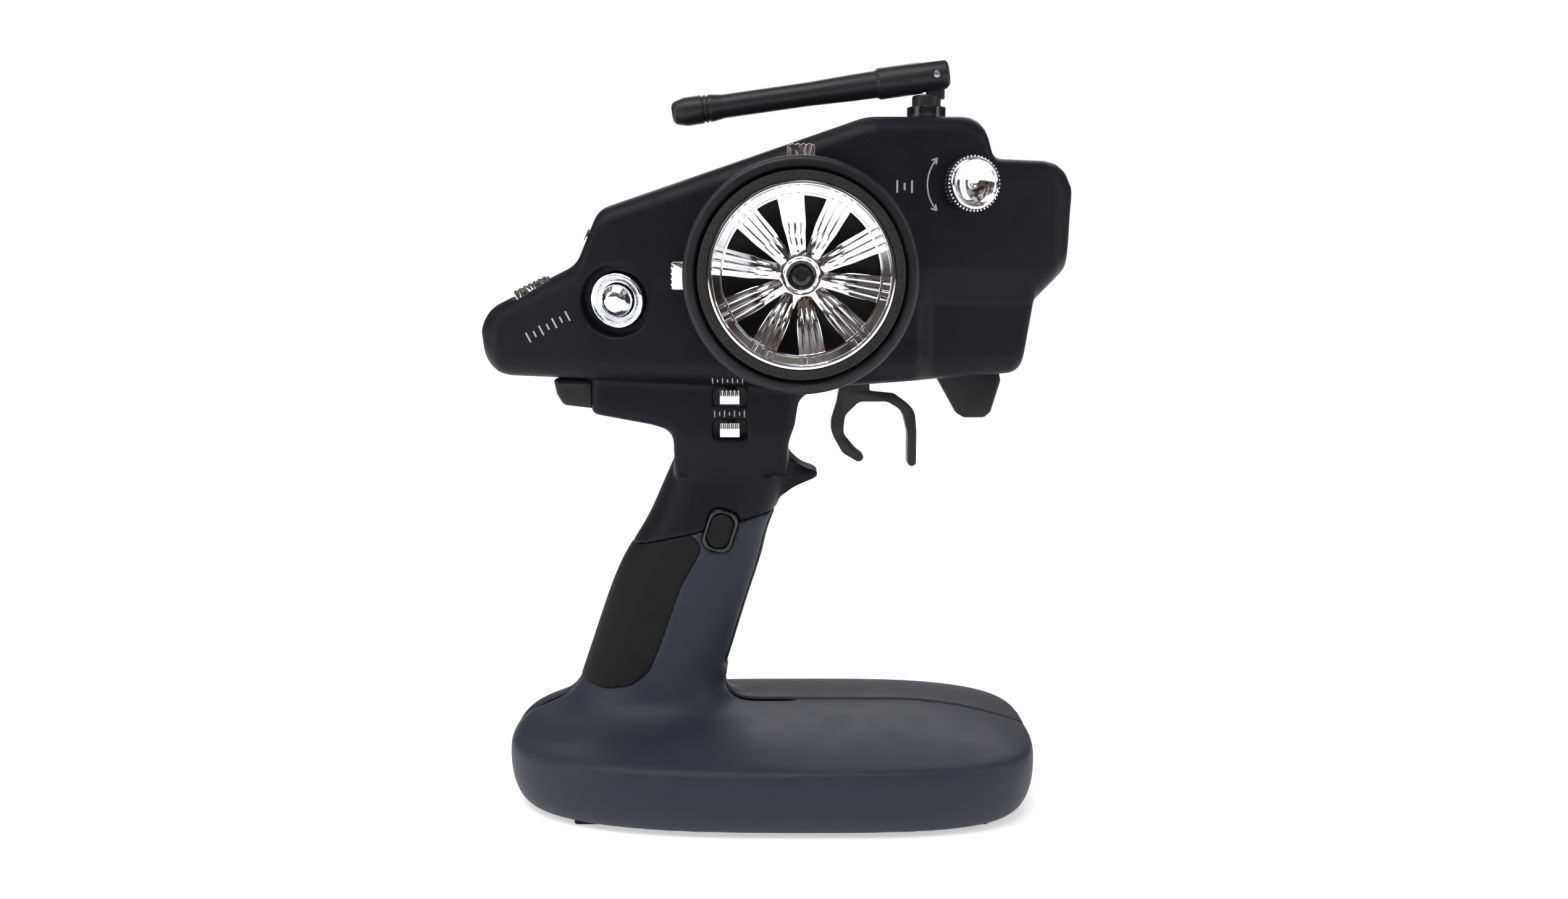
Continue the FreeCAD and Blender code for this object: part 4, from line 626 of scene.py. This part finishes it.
def makeSpoke():
    along, across = 34, 42
    bpy.ops.mesh.primitive_grid_add(x_subdivisions=along, y_subdivisions=across, size=2, location=(0, 0, 0))
    spoke = bpy.context.active_object
    inner, outer = wheel["spokeInner"], wheel["spokeOuter"]
    for point in spoke.data.vertices:
        share = (point.co.x + 1) / 2
        side = point.co.y
        radius = inner + (outer - inner) * share
        half = float(np.interp(radius, *zip(*wheel["halfAt"])))
        fade = min(1.0, max(0.0, (radius - wheel["grooveFrom"]) / (wheel["grooveFull"] - wheel["grooveFrom"])))
        nearest = min(abs(side - rib) for rib in wheel["ribsAt"])
        wave = min(1.0, max(0.0, 2.2 - nearest / wheel["ribHalf"] * 1.2))
        crown = 0.35 * (1 - side ** 2)
        height = spokeHeight(radius) - wheel["ribDepth"] * fade * (1 - wave) + crown * (1 - fade)
        point.co = (radius * mm, side * half * mm, height * mm)
    applyModifier(spoke, "SOLIDIFY", thickness=wheel["thick"] * mm, offset=-1)
    return spoke


def makeWheelRim():
    dropPicks()
    face = wheel["face"]
    ringProfile = [
        (26.35, 1.0), (26.35, face - 0.6), (26.15, face - 0.15), (25.7, face), (25.2, face - 0.1),
        (24.9, face - 0.5), (24.8, face - 2.2), (22.85, face - 2.4), (22.8, face - 1.3), (22.5, face - 1.1),
        (22.15, face - 1.2), (22.0, face - 1.6), (21.95, face - 4.0), (22.8, face - 5.0), (23.4, 1.0),
    ]
    ring = lathe("rimRing", ringProfile, steps=160)
    hub = lathe("rimHub", [(3.05, 6.8), (3.3, 8.1), (4.4, 9.3), (5.0, 9.75), (5.6, 9.8), (6.5, 9.5), (7.3, 8.9),
                           (6.8, 7.4), (6.0, 2.0), (3.05, 2.0)], steps=96)
    dropPicks()
    step = 2 * math.pi / wheel["spokes"]
    spoke = makeSpoke()
    spoke.matrix_world = Matrix.Rotation(math.radians(wheel["firstSpoke"]), 4, "Z")
    spokes = around(spoke, wheel["spokes"], lambda i: i * step)
    rim = joinAll([ring, hub] + spokes, "wheelRim")
    pickOnly(rim)
    bpy.ops.object.transform_apply(location=True, rotation=True, scale=True)
    setPlace(rim, wheelFrame)
    softShade(rim, 40)
    settle(rim, "steering_wheel", "chrome_trim", paint("chromeTrim"), "wheel_rim")


def makeWheelPins():
    dropPicks()
    bpy.ops.mesh.primitive_uv_sphere_add(segments=12, ring_count=8, radius=0.36 * mm,
                                         location=(6.9 * mm, 0, 9.75 * mm))
    pin = bpy.context.active_object
    pin.matrix_world = Matrix.Rotation(math.radians(wheel["firstSpoke"]), 4, "Z") @ pin.matrix_world
    pins = joinAll(around(pin, wheel["spokes"], lambda i: i * 2 * math.pi / wheel["spokes"]), "wheelPins")
    pickOnly(pins)
    bpy.ops.object.transform_apply(location=True, rotation=True, scale=True)
    setPlace(pins, wheelFrame)
    softShade(pins)
    settle(pins, "steering_wheel", "gloss_black", paint("glossBlack"))


def makeWheelTyre():
    face = wheel["face"]
    tyre = lathe("wheelTyre", [(26.4, 0.3), (27.4, 0.0), (28.4, 0.25), (29.0, 1.0), (29.2, 2.2),
                               (29.2, face - 2.2), (29.05, face - 1.1), (28.5, face - 0.35), (27.5, face),
                               (26.75, face - 0.15), (26.4, face - 0.45)], steps=160)
    setPlace(tyre, wheelFrame)
    softShade(tyre, 50)
    settle(tyre, "steering_wheel", "foam_black", foamPaint(), "wheel_tyre")


def makeWheelCap():
    cap = lathe("wheelCap", [(0.0, 6.6), (2.9, 6.6), (3.0, 7.3), (2.75, 8.0), (1.75, 8.3), (1.55, 8.1), (1.5, 7.4),
                             (0.0, 7.4)], steps=64, closed=False)
    setPlace(cap, wheelFrame)
    softShade(cap, 40)
    settle(cap, "steering_wheel", "gloss_black", paint("glossBlack"), "wheel_cap")


def foamPaint():
    # open foam: painted shade darkens the pits of the cells, over a slightly lighter skin
    material = bpy.data.materials.new("foamBlack")
    material.use_nodes = True
    tree = material.node_tree
    shader = tree.nodes["Principled BSDF"]
    coords = tree.nodes.new("ShaderNodeTexCoord").outputs["Object"]
    cells = texture(tree, "ShaderNodeTexVoronoi", coords, Scale=1500.0)
    grain = placeGroup(tree, "grain", coords, Scale=2200.0)
    # painted shade: the colour is darkest in the cell pits, where the bump height is lowest
    colour = mixColour(tree, rangeNode(tree, cells.outputs["Distance"], 0.1, 0.6, 0.0, 1.0),
                       (0.006, 0.006, 0.006), (0.02, 0.02, 0.021))
    tree.links.new(colour, shader.inputs["Base Color"])
    bump = tree.nodes.new("ShaderNodeBump")
    bump.inputs["Strength"].default_value = 0.7
    bump.inputs["Distance"].default_value = 0.1 * mm
    fineHeight = mathNode(tree, "MULTIPLY", grain.outputs["Height"], 0.4)
    height = mathNode(tree, "ADD", cells.outputs["Distance"], fineHeight)
    tree.links.new(height, bump.inputs["Height"])
    tree.links.new(bump.outputs["Normal"], shader.inputs["Normal"])
    tree.links.new(rangeNode(tree, grain.outputs["Cloud"], 0, 1, 0.8, 0.95), shader.inputs["Roughness"])
    shader.inputs["Specular IOR Level"].default_value = 0.25
    return material


makeWheelRim()
makeWheelPins()
makeWheelTyre()
makeWheelCap()
print("wheel made")


# shells

head = {"bandTop": 167.0, "bandFoot": 157.2, "bandSet": 2.4, "belowSet": 3.3, "rampStart": 41.5, "rampEnd": 48.0,
        "halfWidth": 25.0}


def setInBand(piece):
    # below its lower bevel the front of the head stands in from the sides
    for point in piece.data.vertices:
        x, y, z = point.co / mm
        if z > head["bandTop"] or x < head["rampStart"]:
            continue
        ramp = min(1.0, (x - head["rampStart"]) / (head["rampEnd"] - head["rampStart"]))
        ramp = ramp * ramp * (3 - 2 * ramp)
        if z > head["bandFoot"]:
            inset = head["bandSet"] * (head["bandTop"] - z) / (head["bandTop"] - head["bandFoot"])
        else:
            step = min(1.0, (head["bandFoot"] - z) / 0.8)
            inset = head["bandSet"] + (head["belowSet"] - head["bandSet"]) * step
        point.co.y *= 1 - ramp * inset / head["halfWidth"]


# slots that moving pieces pass through: centre, half size, where y lies, and how far their walls open
slots = (
    {"x": -14.1, "z": 128.4, "halfX": 4.6, "halfZ": 2.6, "yLow": -30.0, "yHigh": -12.0, "open": 0.45},
    {"x": -14.1, "z": 118.4, "halfX": 4.6, "halfZ": 2.6, "yLow": -30.0, "yHigh": -12.0, "open": 0.45},
    {"x": 23.4, "z": 131.0, "halfX": 9.2, "halfZ": 0.0, "yLow": -8.0, "yHigh": 8.0, "open": 0.7},
)


def openSlots(piece):
    for slot in slots:
        for point in piece.data.vertices:
            x, y, z = point.co / mm
            offX, offZ = x - slot["x"], z - slot["z"]
            tall = slot["halfZ"] or 12.0
            if slot["yLow"] < y < slot["yHigh"] and abs(offX) < slot["halfX"] + 0.7 and abs(offZ) < tall + 0.7:
                if abs(offX) > slot["halfX"] - 1.2:
                    point.co.x += math.copysign(slot["open"] * mm, offX)
                if slot["halfZ"] and abs(offZ) > slot["halfZ"] - 1.0:
                    point.co.z += math.copysign(slot["open"] * mm * 0.5, offZ)


def shapeHead(piece):
    setInBand(piece)
    calmBand(piece, 99.0, 119.0, 14, xHigh=25.0)
    openSlots(piece)


def shapeBase(piece):
    calmBand(piece, 17.0, 46.0, 18)
    calmBand(piece, 19.0, 46.0, 60, xHigh=6.0)


for side in ("right", "left"):
    moulded("head_shell_" + side, "headShell" + side.title(), paint("softTouchBlack"), voxel=0.8, reshape=shapeHead)
    moulded("base_shell_" + side, "baseShell" + side.title(), paint("softTouchGrey"), voxel=0.9, reshape=shapeBase)
moulded("palm_pad", "palmPad", paint("rubberBlack"), voxel=0.6)
moulded("front_strip", "frontStrip", paint("rubberBlack"), voxel=0.5, rounds=2)
print("shells made")


# turning knob

def jointNamed(name):
    return next(row for row in frame["joints"] if row["name"] == name)


def standOn(point, direction):
    return Matrix.Translation(point) @ Vector(direction).to_track_quat("Z", "Y").to_matrix().to_4x4()


knob = {"radius": 7.95, "height": 7.7, "gap": 0.3, "teeth": 44, "toothWide": 0.62, "toothDeep": 0.7, "lip": 6.7}


def makeKnob():
    radius, top, lip = knob["radius"], knob["height"], knob["lip"]
    drum = lathe("knobDrum", [(0.0, 0.0), (radius - 0.8, 0.0), (radius - 0.2, 0.8), (radius - 0.2, top - 1.5),
                              (radius - 0.35, top - 0.6), (radius - 0.8, top - 0.15), (lip + 0.1, top),
                              (lip - 0.25, top - 0.2), (lip - 0.5, top - 0.7), (5.2, top - 1.35), (3.6, top - 1.8),
                              (1.9, top - 2.05), (1.25, top - 2.1), (1.0, top - 2.3), (0.6, top - 2.6),
                              (0.0, top - 2.7)], steps=96, closed=False)
    dropPicks()
    bpy.ops.mesh.primitive_cube_add(size=1, location=((radius - 0.05) * mm, 0, top * 0.46 * mm),
                                    scale=(knob["toothDeep"] * mm, knob["toothWide"] * mm, (top - 2.0) * mm))
    tooth = bpy.context.active_object
    pickOnly(tooth)
    bpy.ops.object.transform_apply(location=True, rotation=True, scale=True)
    applyModifier(tooth, "BEVEL", width=0.24 * mm, segments=2, limit_method="NONE")
    teeth = around(tooth, knob["teeth"], lambda i: i * 2 * math.pi / knob["teeth"])
    piece = joinAll([drum] + teeth, "turnKnob")
    pickOnly(piece)
    bpy.ops.object.transform_apply(location=True, rotation=True, scale=True)
    joint = jointNamed("dr_turn")
    outward = Vector(joint["axis"]).normalized()
    if outward.y > 0:
        outward = -outward
    foot = Vector(joint["pos_m"]) + outward * knob["gap"] * mm
    setPlace(piece, standOn(foot, outward))
    softShade(piece, 42)
    settle(piece, "dr_knob", "chrome_trim", paint("chromeTrim"), "dr_knob")


makeKnob()
print("knob made")


# printed marks: each stroke is a thin raised plate laid on the shell

def tickRow(count, pitch, tall, wide):
    # upright ticks side by side, every other one shorter
    strokes = []
    for i in range(count):
        share = 1.0 if i % 2 == 0 else 0.6
        strokes.append(((i - (count - 1) / 2) * pitch, 0.0, tall * share, wide, 90.0))
    return strokes


def arcArrow(radius, reach, wide, head, steps=18, lean=28):
    # an arc of short strokes about the origin, with an arrowhead at each end
    strokes = []
    for i in range(steps):
        angle = 180 - reach + (i + 0.5) * 2 * reach / steps
        turn = math.radians(angle)
        long = 2 * math.radians(reach) * radius / steps * 1.15
        strokes.append((radius * math.cos(turn), radius * math.sin(turn), long, wide, angle + 90))
    for sign in (-1, 1):
        angle = 180 + sign * reach
        turn = math.radians(angle)
        tipX, tipZ = radius * math.cos(turn), radius * math.sin(turn)
        for side in (-lean, lean):
            back = math.radians(angle - sign * 90 + side)
            strokes.append((tipX + math.cos(back) * head / 2, tipZ + math.sin(back) * head / 2, head, wide,
                            math.degrees(back)))
    return strokes


marks = {
    "tailTicks": {"at": (-68.0, 149.7), "turn": 28.0, "strokes": tickRow(7, 2.3, 3.2, 0.5)},
    "knobTicks": {"at": (37.7, 190.8), "turn": 0.0, "strokes": tickRow(3, 2.2, 3.6, 0.55)},
    "knobArrow": {"at": (55.9, 191.5), "turn": 0.0, "strokes": arcArrow(11.4, 42.0, 0.42, 1.9)},
    "upperLeverTicks": {"at": (-14.6, 133.5), "turn": 0.0, "strokes": tickRow(7, 1.5, 1.9, 0.34)},
    "lowerLeverTicks": {"at": (-14.2, 123.3), "turn": 0.0, "strokes": tickRow(7, 1.5, 1.9, 0.34)},
}


def makeMark(name, mark, target):
    plates = []
    for x, z, long, wide, turn in mark["strokes"]:
        dropPicks()
        bpy.ops.mesh.primitive_grid_add(x_subdivisions=max(2, int(long / 0.5)), y_subdivisions=2, size=1)
        plate = bpy.context.active_object
        plate.matrix_world = (Matrix.Translation((x * mm, z * mm, 0)) @ Matrix.Rotation(math.radians(turn), 4, "Z")
                              @ Matrix.Diagonal((long * mm, wide * mm, 1, 1)))
        plates.append(plate)
    piece = joinAll(plates, name)
    pickOnly(piece)
    bpy.ops.object.transform_apply(location=True, rotation=True, scale=True)
    x, z = mark["at"]
    lay = Matrix.Rotation(math.pi / 2, 4, "X") @ Matrix.Rotation(math.radians(mark["turn"]), 4, "Z")
    setPlace(piece, Matrix.Translation((x * mm, -40 * mm, z * mm)) @ lay)
    applyModifier(piece, "SHRINKWRAP", target=target, wrap_method="PROJECT", use_project_y=True,
                  use_positive_direction=True, use_negative_direction=False, offset=0.03 * mm)
    applyModifier(piece, "SOLIDIFY", thickness=0.05 * mm, offset=0)
    settle(piece, "root", "soft_touch_grey", paint("markingGrey"))


for markName, mark in marks.items():
    makeMark(markName, mark, bpy.data.objects["headShellRight"])
print("marks laid on")


# pieces that keep their CAD shape, with softened edges

softened = {
    "steering_housing": ("steeringHousing", "plasticBlack", 0.5),
    "port_cover": ("portCover", "plasticBlack", 0.3),
    "front_fin": ("frontFin", "plasticBlack", 0.3),
    "battery_door": ("batteryDoor", "plasticBlack", 0.25),
    "rubber_feet": ("rubberFeet", "rubberBlack", 0.4),
    "steering_trim": ("steeringTrim", "chromeTrim", 0.15),
    "throttle_trim": ("throttleTrim", "chromeTrim", 0.15),
    "aux_rate_lever": ("auxRateLever", "chromeTrim", 0.12),
    "aux_trim_lever": ("auxTrimLever", "chromeTrim", 0.12),
    "trigger_lever": ("triggerLever", "plasticBlack", 0.5),
    "aux_bezel": ("auxBezel", "chromeTrim", 0.15),
    "aux_button": ("auxButton", "chromeTrim", 0.15),
    "grip_bezel": ("gripBezel", "glossBlack", 0.25),
    "grip_button": ("gripButton", "rubberBlack", 0.2),
    "menu_rocker_right": ("menuRockerRight", "chromeTrim", 0.15),
    "menu_rocker_left": ("menuRockerLeft", "chromeTrim", 0.15),
    "power_switch": ("powerSwitch", "chromeTrim", 0.15),
    "antenna_collar": ("antennaCollar", "glossBlack", 0.15),
    "antenna_base": ("antennaBarrel", "plasticBlack", 0.2),
    "antenna_rod": ("antennaRod", "plasticBlack", 0.2),
    "antenna_pin": ("antennaPin", "steelBright", 0.2),
    "case_screws": ("caseScrews", "steelBright", 0.15),
}
for node, (name, finish, width) in softened.items():
    bevelled(node, name, paint(finish), width)
print("fittings made")


# hidden working parts keep their CAD shape

hiddenFinish = {
    "steel_bright": "steelBright", "spring_steel": "steelBright", "shield_tin": "shieldTin",
    "nylon_white": "nylonWhite", "gloss_black": "glossBlack", "plastic_black": "plasticBlack",
    "cell_jacket": "cellJacket", "brass_contact": "brassContact", "pcb_green": "boardGreen", "lead_black": "leadBlack",
    "chrome_trim": "chromeTrim", "rubber_black": "rubberBlack", "foam_black": "rubberBlack",
    "soft_touch_black": "softTouchBlack", "soft_touch_grey": "softTouchGrey",
}


def displayPaint():
    # grey-green display face with rows of dark segments
    material = bpy.data.materials.new("displayFace")
    material.use_nodes = True
    tree = material.node_tree
    shader = tree.nodes["Principled BSDF"]
    coords = tree.nodes.new("ShaderNodeTexCoord").outputs["Object"]
    place = tree.nodes.new("ShaderNodeMapping")
    place.inputs["Rotation"].default_value = (math.radians(90), math.radians(-26), 0)
    tree.links.new(coords, place.inputs["Vector"])
    segments = texture(tree, "ShaderNodeTexBrick", place.outputs["Vector"], Scale=210.0)
    segments.inputs["Color1"].default_value = (0.02, 0.025, 0.02, 1)
    segments.inputs["Color2"].default_value = (0.16, 0.20, 0.14, 1)
    segments.inputs["Mortar"].default_value = (0.20, 0.25, 0.17, 1)
    segments.inputs["Mortar Size"].default_value = 0.06
    grain = placeGroup(tree, "grain", coords, Scale=1200.0)
    haze = mathNode(tree, "MULTIPLY", grain.outputs["Cloud"], 0.15)
    face = mixColour(tree, haze, segments.outputs["Color"], (0.24, 0.28, 0.2))
    tree.links.new(face, shader.inputs["Base Color"])
    tree.links.new(rangeNode(tree, grain.outputs["Cloud"], 0, 1, 0.25, 0.35), shader.inputs["Roughness"])
    paints["displayFace"] = material


displayPaint()
glassPaint("clearWindow", (0.9, 0.93, 0.94), 0.03)
glassPaint("redLens", (0.7, 0.05, 0.03), 0.05)
for row in record["subparts"]:
    piece = nodes[row["node"]]
    if piece.hide_render:
        continue
    slotName = row["material_slot"]
    if slotName == "lens_clear":
        material = paints["clearWindow"]
    elif slotName == "lens_red":
        material = paints["redLens"]
    elif row["node"] == "lcd_module":
        material = paints["displayFace"]
    else:
        material = paint(hiddenFinish[slotName])
    piece.data.materials.clear()
    piece.data.materials.append(material)
print("inner parts painted")
